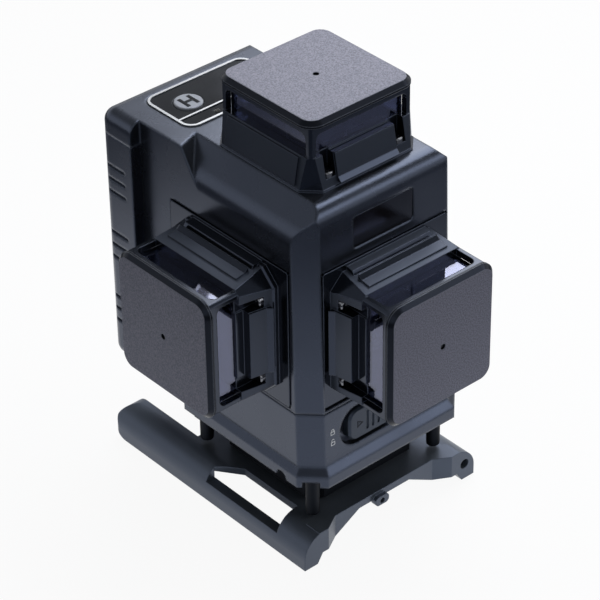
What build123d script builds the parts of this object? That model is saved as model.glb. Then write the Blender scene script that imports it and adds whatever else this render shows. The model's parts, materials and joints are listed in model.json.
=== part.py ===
from build123d import *
import math
import os

os.makedirs("parts", exist_ok=True)

# Self-levelling line laser with three lens heads, standing on a swivel base with strap windows.
# Millimetres. The origin is the mouth of the tripod thread, on the swivel axis, level with the floor.
# +Z is up, the lock switch faces -Y and the side lens head faces -X.

# Lens heads, with depths measured inwards from a cap's outer face
top_face_z = 168.3
front_face_y = -62.5
side_face_x = -65.2
side_axis_z = 90.3
side_head_y = 4.9
cap_half = 24.0
cap_corner_r = 6.0
cap_bevel = 1.6
cap_t = 2.5
cap_mark_r = 1.1
cap_mark_depth = 1.2
rim_depth = 5.3
rim_half = 22.5
rim_corner = 0.9
glass_half = 20.1
glass_corner_r = 2.5
collar_top_half = 23.0
collar_foot_half = 25.2
collar_top_corner = 1.9
collar_foot_corner = 5.5
head_base_half = 25.8
head_base_corner = 5.8
head_base_bevel = 0.5
panel_relief = 0.7
panel_margin = 0.9
wide_panel_half = 17.8
narrow_panel_half = 13.2
panel_kick = 1.2
panel_kick_l = 1.8
ledge_half = 21.0
head_bore_half = 18.2
pane_t = 1.5
pane_at = 19.3
pocket_in = 20.3
pocket_near = 13.4
pocket_far = 17.8
pocket_rise = 3.2
head_screw_u = 22.6
head_screw_v = 15.6
# Depths of each head's window sill, of the top of its panels and of its skirt
top_depths = (13.7, 14.3, 25.5)
front_depths = (15.0, 18.6, 28.0)
side_depths = (14.4, 17.7, 27.0)
# Steps on the two wide sides of each collar: both ends as a depth and a height over the sloping side
panel_lip = panel_relief + panel_kick
top_steps = [((14.3, panel_relief), (24.6, panel_relief))]
front_steps = [
    ((17.0, panel_relief), (22.4, panel_relief)),
    ((20.6, panel_relief), (22.4, panel_lip)),
    ((24.0, -0.4), (25.2, 1.3)),
    ((25.2, 1.3), (28.0, 1.3)),
]
side_steps = [
    ((17.7, panel_relief), (23.2, panel_relief)),
    ((21.4, panel_relief), (23.2, panel_lip)),
    ((24.3, -0.4), (25.4, 1.3)),
    ((25.4, 1.3), (29.0, 0.9)),
]
# Mounting flanges that fill the seats of the front and side heads
front_flange_depth = 28.0
side_flange_depth = 29.0
flange_gap = 0.3
flange_r = 1.0
head_screw_head_r = 2.1
head_screw_head_h = 2.0
head_screw_r = 1.2
head_screw_bite = 4.0
screw_slack = 0.05
sunk_gap = 0.1
hole_over = 0.3
free_gap = 0.3
press_gap = 0.02
slide_fit = 0.03
through = 1.0
drive_r = 0.9
drive_depth = 0.9

# Body housing
flange_half = 37.8
flange_front_y = -38.4
flange_rear_y = 38.0
flange_corner = 7.8
flange_z = 31.8
flange_bevel_z = 36.2
flange_top_z = 39.4
flange_bevel = 2.8
corner_share = 0.59
body_foot_z = 39.0
parting_z = 61.4
body_top_z = 142.0
foot_half = 36.0
top_half = 35.5
foot_front_y = -35.8
top_front_y = -33.2
body_corner = 6.8
split_y = 51.0
shoulder_half = 26.0
slope_angle = 45.0
shoulder_r = 10.0
# The left shoulder ends under the deck at a face that is turned and leans back
shoulder_end_y = 32.4
shoulder_end_turn = 21.0
shoulder_end_lean = 30.0
brow_r = 6.5
floor_z = 35.5
ledge_z = 42.0
pit_far_y = 33.0
rear_wall_y = 47.5
spindle_boss_r = 10.0
spindle_boss_z = 41.0
cavity_half = 31.0
cavity_front_y = -29.5
shell_half = 28.5
shell_front_y = -27.0
cavity_corner = 5.0
cavity_bend_z = 128.0
cavity_top_z = 136.0
cavity_top_half = 24.5
cavity_top_front_y = -24.0
recess_half = 27.9
front_recess_half = 28.5
front_recess_y = -29.5
side_recess_x = -31.0
side_recess_near_y = -26.0
side_recess_far_y = 35.4
head_opening_half = 17.0
head_opening_depth = 7.0
seam_w = 0.35
seam_depth = 0.5

# Rear housing
rear_half = 40.0
rear_y = 68.0
rear_foot_z = 38.5
deck_z = 133.0
rear_corner_r = 5.0
deck_rim_r = 4.8
bay_half = 29.5
bay_front_y = 54.0
bay_foot_z = 50.0
bay_top_z = 122.0
pack_gap = 0.3
pack_bevel = 0.6
rear_screw_x = 33.4
rear_screw_z = (44.5, 128.0)
rear_screw_r = 1.4
rear_screw_head_r = 2.7
rear_screw_head_h = 2.4
rear_screw_seat_y = 58.0
rear_screw_bite = 3.5
rear_screws_at = [(x, z) for x in (-rear_screw_x, rear_screw_x) for z in rear_screw_z]
slot_y = (55.0, 64.6)
slot_group_z = (120.3, 92.8, 65.3)
slot_pitch = 5.2
slot_h = 1.4
slot_depth = 1.2

# Keypad
keypad_x = -3.8
keypad_y = 47.7
keypad_l = 46.0
keypad_w = 26.4
keypad_r = 5.0
keypad_t = 0.8
keypad_recess = 0.7
trim_w = 1.2
trim_t = 0.35
trim_inset = 0.2
separator_w = 0.8
separator_y = 41.5
keys_at = [(-15.6, 48.7), (8.2, 48.7)]
key_r = 5.2
key_top_z = 142.8
key_disc_z = 140.0
key_stem_r = 1.8
key_stem_z = 133.4
key_well_z = 137.5
key_gap = 0.3
key_edge_r = 0.6
lens_y = 38.0
lens_r = 1.1
lens_pitch = 8.0
lens_rise = 0.2
lenses_at = [(keypad_x + lens_pitch * step, lens_y) for step in (-1, 0, 1)]

# Front label plate and lock switch
label_x = (-14.0, 13.0)
label_z = (121.5, 134.0)
label_floor_y = -32.6
label_t = 0.8
label_r = 1.5
label_gap = 0.1
switch_x = (-22.0, 14.0)
switch_z = 50.0
switch_h = 16.0
switch_r = 7.9
switch_floor_y = -32.6
slider_x = (-18.0, 4.0)
slider_h = 13.2
slider_front_y = -35.9
slider_travel = 8.0
slider_r = 4.0
slider_gap = 0.15
slider_bevel = 0.8
grip_pitch = 2.6
grip_l = 8.2
grip_w = 1.1
grip_depth = 0.5
stem_root = 0.2
stem_gap = 0.5
stem_x = (-13.0, -1.0)
stem_h = 4.4
lever_pivot_y = -25.0
lever_pivot_z = 40.0
lever_x = (-9.0, -5.0)
ear_gap = 1.5
ear_w = 2.5
ear_l = 6.0
ear_rise = 3.0
lever_pin_over = 4.0
lever_hub_r = 3.0
# Lever in side view as y and z: from the hub back and up to the pad under the damping plate
lever_outline = [
    (-27.0, 41.5), (-23.2, 38.2), (-16.5, 49.5), (-16.0, 50.0), (-16.0, 53.5), (-20.0, 53.5), (-20.0, 50.5),
]
clip_y = -29.2
clip_t = 1.5
clip_over_x = 4.0
clip_over_z = 5.6
clip_r = 1.5

# Boards and contacts
board_y = 44.0
board_t = 1.4
key_board_gap = 1.0
key_board_y = 41.0
key_board_l = 48.0
key_board_w = 18.0
main_board_z = 95.0
main_board_w = 54.0
main_board_h = 62.0
chips_at = [(-12.0, 100.0), (10.0, 84.0)]
chip_w = 10.0
small_chips_at = [(14.0, 112.0), (-16.0, 74.0)]
small_chip_w = 7.0
small_chip_h = 4.0
chip_t = 1.4
contact_x = (-8.0, 0.0, 8.0)
contact_z = 85.0
contact_w = 4.0
contact_h = 8.0
thumb_l = 22.0
thumb_h = 9.0
thumb_drop = 9.0
thumb_depth = 2.0
thumb_rib_pitch = 2.4
thumb_rib_w = 1.0

# Swivel and base
boss_r = 14.0
spindle_shank_r = 8.0
spindle_flange_r = 13.0
spindle_flange_t = 2.0
journal_r = 6.0
journal_top_z = 41.1
tip_r = 4.0
tip_top_z = 47.0
running_gap = 0.05
tripod_r = 3.175
tripod_depth = 11.0
block_half = 25.5
block_corner = 5.0
block_z = 15.0
block_screw_at = 18.0
block_screw_r = 1.4
block_screw_head_r = 2.6
block_screw_head_h = 2.4
block_screw_seat_z = 18.0
spindle_screw_at = 10.5
spindle_screw_r = 1.2
spindle_screw_head_r = 2.0
nut_z = 42.2
nut_h = 4.0
nut_r = 7.5
washer_t = 0.9
washer_r = 12.6
washer_play = 0.2
washer_gap = 0.1
wave_r = 8.5
foot_at = (29.0, 28.8)
foot_r = 2.5
foot_z = 15.2
foot_notch = 2.2
foot_edge_r = 0.8
notch_l = 12.0
notch_w = 6.2
edge_notch_y = -22.4
edge_notch_r = 2.6
edge_notch_depth = 3.0
tray_z = 10.8
tray_top_z = 13.7
tray_front_y = -34.4
tray_front_half = 23.5
spindle_flange_z = tray_top_z + spindle_flange_t
spindle_screw_seat_z = spindle_flange_z - 1.3
spindle_screw_foot_z = 6.0
fork_y = 33.1
fork_notch = [(28.6, 33.1), (25.4, 31.8), (21.0, 38.2)]
tongue_half = 21.0
tongue_y = 46.0
lug_wall_z = 4.4
lug_front_y = -38.0
lug_inner_x = 29.8
lug_back = [(34.0, -31.0), (26.5, -29.5)]
gusset_x = 12.0
gusset_t = 3.0
rail_outer_x = 41.0
rail_inner_x = 30.0
rail_far_y = 68.0
rail_foot_z = 0.5
rail_end_r = 2.0
nose_r = 5.5
rail_top_r = 9.0
rail_web_z = 8.5
rail_sole_x = 35.0
window_outer_x = 36.3
window_y = (-21.4, 7.0, 16.3)
window_skew = 0.6
hollow_y = 28.0
eye_x = (-5.5, 0.8)
eye_z = (8.4, 12.2)
eye_r = 1.6
eye_hole_z = 10.1
eye_hole_r = 1.1
eye_back_y = -33.4
eye_t = 2.6
pad_w = 4.0
pad_l = 20.0
pad_t = 1.2
pads_at = [(x, y) for x in (-38.6, 38.6) for y in (-26.0, 50.0)]
low_rail_z = 8.0
lug_hole = (36.2, 7.2)
lug_hole_r = 2.0
lug_hole_depth = 9.0

# Gimbal and pendulum
gimbal_z = 119.0
hanger_z = 128.0
hanger_t = 4.0
hanger_w = 32.0
hanger_bore_r = 11.5
hanger_post_at = (20.0, 12.0)
hanger_post_r = 2.9
hanger_lug_w = 10.0
hanger_foot_z = 113.0
hanger_bearing_r = 3.0
ring_bearing_r = 2.6
top_arm_drop = 7.7
side_arm_drop = 9.0
tube_l = 13.5
module_top_z = 100.0
module_start = -5.0
frame_x = (-12.0, 16.0)
frame_y = (-12.0, 17.0)
frame_z = (78.0, 102.0)
frame_r = 2.0
sleeve_r = 10.2
sleeve_top_z = 124.0
bridge_z = 49.5
bridge_t = 2.0
bridge_w = 30.0
bridge_leg_at = 13.0
bridge_leg_w = 4.0
magnet_at = 8.0
magnet_r = 4.5
magnet_t = 3.0
ring_inner_r = 13.0
ring_outer_r = 17.5
ring_h = 7.0
pin_r = 1.5
bearing_gap = 0.05
ring_pin_span = (13.6, 24.8)
hanger_bearing_span = (21.5, 24.5)
pendulum_pin_span = (7.9, 17.2)
ring_bearing_span = (13.5, 16.9)
hanger_lug_x = (20.5, 25.5)
module_r = 7.4
module_flange_r = 9.4
module_flange_t = 2.0
aperture_r = 1.5
aperture_depth = 3.0
tube_wall = 1.2
prism_disc_t = 1.6
prism_cone_r = 6.5
balance_at = (7.96, 5.1)
balance_r = 11.0
plate_z = 57.0
plate_t = 1.5
plate_r = 20.0


def save(piece, label):
    """Names a finished piece and writes it."""
    piece.label = label
    export_step(piece, f"parts/{label}.step")


def front_y(z):
    """Front face of the drafted body at height z."""
    rise = (z - body_foot_z) / (body_top_z - body_foot_z)
    return foot_front_y + rise * (top_front_y - foot_front_y)


def body_half(z):
    """Half width of the drafted body at height z."""
    rise = (z - body_foot_z) / (body_top_z - body_foot_z)
    return foot_half + rise * (top_half - foot_half)


def plan(half, near_y, far_y, corner):
    """Corner points of a rectangle whose two near corners are cut at 45 degrees."""
    return [
        (-half + corner, near_y),
        (half - corner, near_y),
        (half, near_y + corner),
        (half, far_y),
        (-half, far_y),
        (-half, near_y + corner),
    ]


def collar_half(depth, sill, skirt):
    """Half width of a collar's sloping side at a depth below the cap's face."""
    share = (depth - sill) / (skirt - sill)
    return collar_top_half + share * (collar_foot_half - collar_top_half)


# Local planes of the three heads, with each head's length, the depths along its collar, the steps on its
# wide sides and its flange as a centre, a width and a depth. The plane's z points out of the head, its x
# across the screw pockets.
side_recess_mid_y = (side_recess_near_y + side_recess_far_y) / 2
heads = {
    "top": (
        Plane((0, 0, top_face_z), x_dir=(0, 1, 0), z_dir=(0, 0, 1)),
        top_face_z - body_top_z,
        *top_depths,
        top_steps,
        [],
    ),
    "front": (
        Plane((0, front_face_y, side_axis_z), x_dir=(1, 0, 0), z_dir=(0, -1, 0)),
        front_recess_y - front_face_y,
        *front_depths,
        front_steps,
        [(0, 2 * front_recess_half, front_flange_depth)],
    ),
    "side": (
        Plane((side_face_x, side_head_y, side_axis_z), x_dir=(0, -1, 0), z_dir=(-1, 0, 0)),
        side_recess_x - side_face_x,
        *side_depths,
        side_steps,
        [(side_head_y - side_recess_mid_y, side_recess_far_y - side_recess_near_y, side_flange_depth)],
    ),
}
head_screw_places = [(u * head_screw_u, v * head_screw_v) for u in (-1, 1) for v in (-1, 1)]
front_wall = Plane((0, 0, 0), x_dir=(1, 0, 0), z_dir=(0, -1, 0))
side_wall = Plane((0, 0, 0), x_dir=(0, -1, 0), z_dir=(-1, 0, 0))
# Case screws as x, y and the height of the seat under the head
case_screws_at = [(-31.2, -29.7, 40.0), (31.2, -29.7, 40.0), (-33.0, 44.0, 41.5), (33.0, 44.0, 41.5)]
case_screw_r = 1.2
case_screw_head_r = 2.0
case_screw_head_h = 2.0
case_screw_top_z = 70.0


def head_cap(plane):
    """Square cap with rounded corners, a bevelled rim and a centre mark."""
    with BuildPart() as cap:
        with BuildSketch(plane.offset(-cap_t)):
            RectangleRounded(2 * cap_half, 2 * cap_half, cap_corner_r)
        extrude(amount=cap_t)
        outer = cap.faces().sort_by(Axis(plane.origin, plane.z_dir))[-1]
        chamfer(outer.edges(), cap_bevel)
        with BuildSketch(plane):
            Circle(cap_mark_r)
        extrude(amount=-cap_mark_depth, mode=Mode.SUBTRACT)
    return cap.part


def head_collar(plane, length, sill, panel_top, skirt, wide_steps, flanges):
    """Sloping collar with raised side panels, screw pockets, four corner posts, the rim under the cap and
    the flange that fills its seat."""
    panel_foot = skirt - panel_margin
    pocket_floor = skirt - pocket_rise
    with BuildPart() as collar:
        # Rim, and the posts left between four window openings with rounded outer corners
        for depth, foot, inner in ((cap_t, rim_depth, head_bore_half), (rim_depth, sill, glass_half)):
            with BuildSketch(plane.offset(-depth)) as ring:
                Rectangle(2 * rim_half, 2 * rim_half)
                chamfer(ring.vertices(), rim_corner)
                Rectangle(2 * inner, 2 * inner, mode=Mode.SUBTRACT)
            extrude(amount=depth - foot)
        for across in (plane.x_dir, plane.y_dir):
            with BuildSketch(Plane(plane.origin, x_dir=plane.z_dir, z_dir=across)) as opening:
                with Locations((-(rim_depth + sill) / 2, 0)):
                    Rectangle(sill - rim_depth, 2 * glass_half)
                fillet(opening.vertices().sort_by(Axis.X)[-2:], glass_corner_r)
            extrude(amount=rim_half + through, both=True, mode=Mode.SUBTRACT)
        # Sloping collar, cut more at its corners towards the foot
        for depth, corner in ((sill, collar_top_corner), (skirt, collar_foot_corner)):
            side = 2 * collar_half(depth, sill, skirt)
            with BuildSketch(plane.offset(-depth)) as section:
                Rectangle(side, side)
                chamfer(section.vertices(), corner)
        loft()
        # Narrow panels with a kicked foot, and the steps of the other two sides
        narrow_steps = [
            ((panel_top, panel_relief), (panel_foot, panel_relief)),
            ((panel_foot - panel_kick_l, panel_relief), (panel_foot, panel_lip)),
        ]
        for ends in narrow_steps:
            for depth, height in ends:
                reach = 2 * (collar_half(depth, sill, skirt) + height)
                with BuildSketch(plane.offset(-depth)):
                    Rectangle(reach, 2 * narrow_panel_half)
            loft()
        for ends in wide_steps:
            for depth, height in ends:
                reach = 2 * (collar_half(depth, sill, skirt) + height)
                with BuildSketch(plane.offset(-depth)):
                    Rectangle(2 * wide_panel_half, reach)
            loft()
        # Base with cut corners and a bevelled edge, and the flange
        bevel_foot = skirt + head_base_bevel
        for depth, inset in ((skirt, head_base_bevel), (bevel_foot, 0)):
            with BuildSketch(plane.offset(-depth)) as section:
                Rectangle(2 * (head_base_half - inset), 2 * (head_base_half - inset))
                chamfer(section.vertices(), head_base_corner)
        loft()
        with BuildSketch(plane.offset(-bevel_foot)) as section:
            Rectangle(2 * head_base_half, 2 * head_base_half)
            chamfer(section.vertices(), head_base_corner)
        extrude(amount=bevel_foot - length)
        for centre, seat_width, depth in flanges:
            with BuildSketch(plane.offset(-depth)):
                with Locations((centre, 0)):
                    RectangleRounded(seat_width - 2 * flange_gap, 2 * (recess_half - flange_gap), flange_r)
            extrude(amount=depth - length)
        with BuildSketch(plane.offset(-sill)):
            Rectangle(2 * head_bore_half, 2 * head_bore_half)
        extrude(amount=sill - length, mode=Mode.SUBTRACT)
        # Ledge above each narrow panel, and the pockets at the panel's ends
        brim = head_base_half + panel_kick + through
        with BuildSketch(plane.offset(-sill)):
            for u in (-1, 1):
                with Locations((u * (ledge_half + brim) / 2, 0)):
                    Rectangle(brim - ledge_half, 2 * pocket_far)
        extrude(amount=sill - panel_top, mode=Mode.SUBTRACT)
        with BuildSketch(plane.offset(-sill)):
            for u in (-1, 1):
                for v in (-1, 1):
                    with Locations((u * (pocket_in + brim) / 2, v * (pocket_near + pocket_far) / 2)):
                        Rectangle(brim - pocket_in, pocket_far - pocket_near)
        extrude(amount=sill - pocket_floor, mode=Mode.SUBTRACT)
        with BuildSketch(plane.offset(-pocket_floor)):
            with Locations(*head_screw_places):
                Circle(head_screw_r + screw_slack)
        extrude(amount=pocket_floor - length, mode=Mode.SUBTRACT)
    return collar.part


def head_windows(plane, sill):
    """Four flat glass panes inside the posts, from the sill up to the rim: two run past the other two."""
    inner_face = pane_at - pane_t / 2
    with BuildPart() as panes:
        with BuildSketch(plane.offset(-rim_depth)):
            with Locations((-pane_at, 0), (pane_at, 0)):
                Rectangle(pane_t, 2 * inner_face + 2 * pane_t)
            with Locations((0, -pane_at), (0, pane_at)):
                Rectangle(2 * (inner_face - press_gap), pane_t)
        extrude(amount=rim_depth - sill)
    return panes.part


def head_screws(plane, length, skirt):
    """Four pan-head screws that stand in a collar's pockets and bite into the body."""
    pocket_floor = skirt - pocket_rise
    with BuildPart() as screws:
        with BuildSketch(plane.offset(-pocket_floor)):
            with Locations(*head_screw_places):
                Circle(head_screw_head_r)
        extrude(amount=head_screw_head_h)
        rims = screws.edges().filter_by(GeomType.CIRCLE).group_by(Axis(plane.origin, plane.z_dir))[-1]
        fillet(rims, head_screw_head_h / 3)
        with BuildSketch(plane.offset(-pocket_floor)):
            with Locations(*head_screw_places):
                Circle(head_screw_r)
        extrude(amount=pocket_floor - length - head_screw_bite)
        with BuildSketch(plane.offset(head_screw_head_h - pocket_floor)):
            with Locations(*head_screw_places):
                RegularPolygon(drive_r, 6)
        extrude(amount=-drive_depth, mode=Mode.SUBTRACT)
    return screws.part


for head, layout in heads.items():
    head_plane, head_length, head_sill, _, head_skirt, *_ = layout
    save(head_cap(head_plane), f"{head}_cap")
    save(head_collar(*layout), f"{head}_collar")
    save(head_windows(head_plane, head_sill), f"{head}_windows")
    save(head_screws(head_plane, head_length, head_skirt), f"{head}_head_screws")



def shoulder_cut(side, end_plane):
    """What lies outside one shoulder, which slopes at 45 degrees and rounds over into the side wall. It runs
    from the front to the end plane."""
    round_l = shoulder_r * math.tan(math.radians(slope_angle / 2))
    round_z = body_top_z + shoulder_half - top_half - round_l
    wall_x = body_half(round_z)
    slope_l = wall_x - shoulder_half - round_l * math.cos(math.radians(slope_angle))
    with BuildPart() as wedge:
        with BuildSketch(Plane.XZ.offset(-rear_y)):
            with BuildLine():
                slope_end = (side * (shoulder_half + slope_l), body_top_z - slope_l)
                Line((side * shoulder_half, body_top_z), slope_end)
                TangentArc(slope_end, (side * wall_x, round_z), tangent=(side, -1))
                Polyline(
                    (side * wall_x, round_z),
                    (side * rear_half, round_z),
                    (side * rear_half, body_top_z),
                    (side * shoulder_half, body_top_z),
                )
            make_face()
        extrude(amount=rear_y - flange_front_y)
        split(bisect_by=end_plane, keep=Keep.TOP)
    return wedge.part


end_edge = Vector(1, 0, 0).rotate(Axis.Z, shoulder_end_turn)
end_facing = Vector(0, -1, 0).rotate(Axis.Z, shoulder_end_turn)
end_facing = end_facing.rotate(Axis((0, 0, 0), end_edge), -shoulder_end_lean)
left_end = Plane((-shoulder_half, shoulder_end_y, body_top_z), x_dir=end_edge, z_dir=end_facing)
left_shoulder = shoulder_cut(-1, left_end)
right_shoulder = shoulder_cut(1, Plane.XZ.offset(-split_y))

# Upper housing: drafted shell with sloping shoulders, head seats and a deck over the rear housing
with BuildPart() as upper_housing:
    for level in (parting_z, body_top_z):
        with BuildSketch(Plane.XY.offset(level)):
            with BuildLine():
                Polyline(*plan(body_half(level), front_y(level), split_y, body_corner), close=True)
            make_face()
    loft()
    brow = upper_housing.edges().filter_by(Axis.X).group_by(Axis.Z)[-1].sort_by(Axis.Y)[0]
    fillet(brow, brow_r)
    with BuildSketch(Plane.XY.offset(deck_z)):
        with Locations((0, (split_y + rear_y) / 2)):
            Rectangle(2 * rear_half, rear_y - split_y)
    extrude(amount=body_top_z - deck_z)
    rear_corners = upper_housing.edges().filter_by(Axis.Z).group_by(Axis.Y)[-1]
    fillet(rear_corners, rear_corner_r)
    deck_edges = upper_housing.faces().sort_by(Axis.Z)[-1].edges()
    fillet(deck_edges.filter_by(lambda e: e.center().Y > split_y + 1), deck_rim_r)
    # Shoulders: the left one stops at the deck, the right one runs on to the back
    add(left_shoulder, mode=Mode.SUBTRACT)
    add(right_shoulder, mode=Mode.SUBTRACT)
    with BuildSketch(Plane.XZ.offset(-rear_y)):
        with BuildLine():
            Polyline(
                (shoulder_half, body_top_z),
                (rear_half, body_top_z),
                (rear_half, body_top_z + shoulder_half - rear_half),
                close=True,
            )
        make_face()
    extrude(amount=rear_y - split_y, mode=Mode.SUBTRACT)
    # Inner cavity, drawn in under the shoulders
    cavity_plan = plan(shell_half, shell_front_y, split_y, cavity_corner)
    with BuildSketch(Plane.XY.offset(parting_z)):
        with BuildLine():
            Polyline(*cavity_plan, close=True)
        make_face()
    extrude(amount=cavity_bend_z - parting_z, mode=Mode.SUBTRACT)
    with BuildSketch(Plane.XY.offset(cavity_bend_z)):
        with BuildLine():
            Polyline(*cavity_plan, close=True)
        make_face()
    with BuildSketch(Plane.XY.offset(cavity_top_z)):
        with BuildLine():
            Polyline(*plan(cavity_top_half, cavity_top_front_y, split_y, cavity_corner), close=True)
        make_face()
    loft(mode=Mode.SUBTRACT)
    # Seats of the front and side heads
    with BuildSketch(front_wall.offset(-front_recess_y)):
        with Locations((0, side_axis_z)):
            Rectangle(2 * front_recess_half, 2 * recess_half)
    extrude(amount=-flange_front_y, mode=Mode.SUBTRACT)
    with BuildSketch(side_wall.offset(-side_recess_x)):
        with Locations((-side_recess_mid_y, side_axis_z)):
            Rectangle(side_recess_far_y - side_recess_near_y, 2 * recess_half)
    extrude(amount=flange_half, mode=Mode.SUBTRACT)
    # Openings for the pendulum's arms and holes for the head screws
    for plane, length, *_ in heads.values():
        with BuildSketch(plane.offset(-length)):
            Rectangle(2 * head_opening_half, 2 * head_opening_half)
        extrude(amount=-head_opening_depth, mode=Mode.SUBTRACT)
        with BuildSketch(plane.offset(-length)):
            with Locations(*head_screw_places):
                Circle(head_screw_r + screw_slack)
        extrude(amount=-head_screw_bite - hole_over, mode=Mode.SUBTRACT)
    # Keypad recess with a well and a stem hole under each key
    with BuildSketch(Plane.XY.offset(body_top_z)):
        with Locations((keypad_x, keypad_y)):
            RectangleRounded(keypad_l, keypad_w, keypad_r)
    extrude(amount=-keypad_recess, mode=Mode.SUBTRACT)
    for well_r, well_z in ((key_r + key_gap, key_well_z), (key_stem_r + key_gap, cavity_top_z)):
        with BuildSketch(Plane.XY.offset(body_top_z)):
            with Locations(*keys_at):
                Circle(well_r)
        extrude(amount=well_z - body_top_z, mode=Mode.SUBTRACT)
    # Seat of the front label plate
    with BuildSketch(front_wall.offset(-label_floor_y)):
        with Locations((sum(label_x) / 2, sum(label_z) / 2)):
            RectangleRounded(label_x[1] - label_x[0], label_z[1] - label_z[0], label_r)
    extrude(amount=-flange_front_y, mode=Mode.SUBTRACT)
    # Blind holes that take the case screws
    with BuildSketch(Plane.XY.offset(parting_z)):
        with Locations(*[(x, y) for x, y, _ in case_screws_at]):
            Circle(case_screw_r + screw_slack)
    extrude(amount=case_screw_top_z - parting_z + hole_over, mode=Mode.SUBTRACT)
    for side in (-1, 1):
        with BuildSketch(Plane.XZ.offset(-split_y)):
            with Locations((side * rear_screw_x, rear_screw_z[1])):
                Circle(rear_screw_r + screw_slack)
        extrude(amount=rear_screw_bite, mode=Mode.SUBTRACT)
save(upper_housing.part, "upper_housing")

# Lower housing: tub with a bevelled square flange, spindle boss and switch recess
with BuildPart() as lower_housing:
    with BuildSketch(Plane.XY.offset(flange_z)) as section:
        with Locations((0, (flange_front_y + flange_rear_y) / 2)):
            Rectangle(2 * flange_half, flange_rear_y - flange_front_y)
        chamfer(section.vertices(), flange_corner)
    extrude(amount=flange_bevel_z - flange_z)
    for level, inset in ((flange_bevel_z, 0), (flange_top_z, flange_bevel)):
        with BuildSketch(Plane.XY.offset(level)) as section:
            with Locations((0, (flange_front_y + flange_rear_y) / 2)):
                Rectangle(2 * (flange_half - inset), flange_rear_y - flange_front_y - 2 * inset)
            chamfer(section.vertices(), flange_corner - corner_share * inset)
    loft()
    for level in (body_foot_z, parting_z):
        with BuildSketch(Plane.XY.offset(level)):
            with BuildLine():
                Polyline(*plan(body_half(level), front_y(level), split_y, body_corner), close=True)
            make_face()
    loft()
    for low_z, high_z, far_y in ((floor_z, ledge_z, pit_far_y), (ledge_z, parting_z, rear_wall_y)):
        with BuildSketch(Plane.XY.offset(low_z)):
            with BuildLine():
                Polyline(*plan(cavity_half, cavity_front_y, far_y, cavity_corner), close=True)
            make_face()
        extrude(amount=high_z - low_z, mode=Mode.SUBTRACT)
    # Fine groove along the parting line
    with BuildSketch(Plane.XY.offset(parting_z)):
        with BuildLine():
            rim = plan(foot_half + through, foot_front_y - through, split_y, body_corner)
            Polyline(*rim, close=True)
        make_face()
        with BuildLine():
            core_half = body_half(parting_z) - seam_depth
            core = plan(core_half, front_y(parting_z) + seam_depth, split_y, body_corner)
            Polyline(*core, close=True)
        make_face(mode=Mode.SUBTRACT)
    extrude(amount=-seam_w, mode=Mode.SUBTRACT)
    # Spindle boss and the ears of the lock lever
    with BuildSketch(Plane.XY.offset(flange_z)):
        Circle(spindle_boss_r)
    extrude(amount=spindle_boss_z - flange_z)
    with BuildSketch(Plane.XY.offset(flange_z)):
        Circle(journal_r + free_gap)
    extrude(amount=spindle_boss_z - flange_z, mode=Mode.SUBTRACT)
    with BuildSketch(Plane.XY.offset(floor_z)):
        ear_at = ear_gap + ear_w / 2
        with Locations((lever_x[0] - ear_at, lever_pivot_y), (lever_x[1] + ear_at, lever_pivot_y)):
            Rectangle(ear_w, ear_l)
    extrude(amount=lever_pivot_z + ear_rise - floor_z)
    with BuildSketch(Plane.YZ.offset(lever_x[0] - lever_pin_over - through)):
        with Locations((lever_pivot_y, lever_pivot_z)):
            Circle(pin_r + press_gap)
    extrude(amount=lever_x[1] - lever_x[0] + 2 * (lever_pin_over + through), mode=Mode.SUBTRACT)
    # Switch recess and the slot for the slider's stem
    with BuildSketch(front_wall.offset(-switch_floor_y)):
        with Locations((sum(switch_x) / 2, switch_z)):
            RectangleRounded(switch_x[1] - switch_x[0], switch_h, switch_r)
    extrude(amount=-flange_front_y, mode=Mode.SUBTRACT)
    with BuildSketch(front_wall.offset(-switch_floor_y)):
        slot_l = stem_x[1] - stem_x[0] + slider_travel + 2 * stem_gap
        with Locations((stem_x[0] - stem_gap + slot_l / 2, switch_z)):
            Rectangle(slot_l, stem_h + 2 * free_gap)
    extrude(amount=switch_floor_y - cavity_front_y - through, mode=Mode.SUBTRACT)
    # Notches over the corner feet, a half-round notch in the left edge, and screw holes
    for x_side in (-1, 1):
        for y_side in (-1, 1):
            corner = Plane(
                (x_side * foot_at[0], y_side * foot_at[1], flange_z),
                x_dir=(x_side, y_side, 0),
                z_dir=(0, 0, 1),
            )
            with BuildSketch(corner):
                with Locations((notch_l / 2, 0)):
                    Rectangle(notch_l, notch_w)
                Circle(foot_r + 2 * free_gap)
            extrude(amount=foot_notch, mode=Mode.SUBTRACT)
    with BuildSketch(side_wall.offset(flange_half - edge_notch_depth)):
        with Locations((-edge_notch_y, flange_z)):
            Circle(edge_notch_r)
    extrude(amount=edge_notch_depth + through, mode=Mode.SUBTRACT)
    for x, y, seat_z in case_screws_at:
        with BuildSketch(Plane.XY.offset(flange_z)):
            with Locations((x, y)):
                Circle(case_screw_head_r + sunk_gap)
        extrude(amount=seat_z - flange_z, mode=Mode.SUBTRACT)
        with BuildSketch(Plane.XY.offset(seat_z)):
            with Locations((x, y)):
                Circle(case_screw_r + screw_slack)
        extrude(amount=parting_z - seat_z, mode=Mode.SUBTRACT)
    with BuildSketch(Plane.XY.offset(flange_z)):
        with GridLocations(2 * block_screw_at, 2 * block_screw_at, 2, 2):
            Circle(block_screw_r + screw_slack)
    extrude(amount=floor_z - flange_z, mode=Mode.SUBTRACT)
    with BuildSketch(Plane.XZ.offset(-split_y)):
        with Locations((-rear_screw_x, rear_screw_z[0]), (rear_screw_x, rear_screw_z[0])):
            Circle(rear_screw_r + screw_slack)
    extrude(amount=rear_screw_bite, mode=Mode.SUBTRACT)
save(lower_housing.part, "lower_housing")

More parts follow.
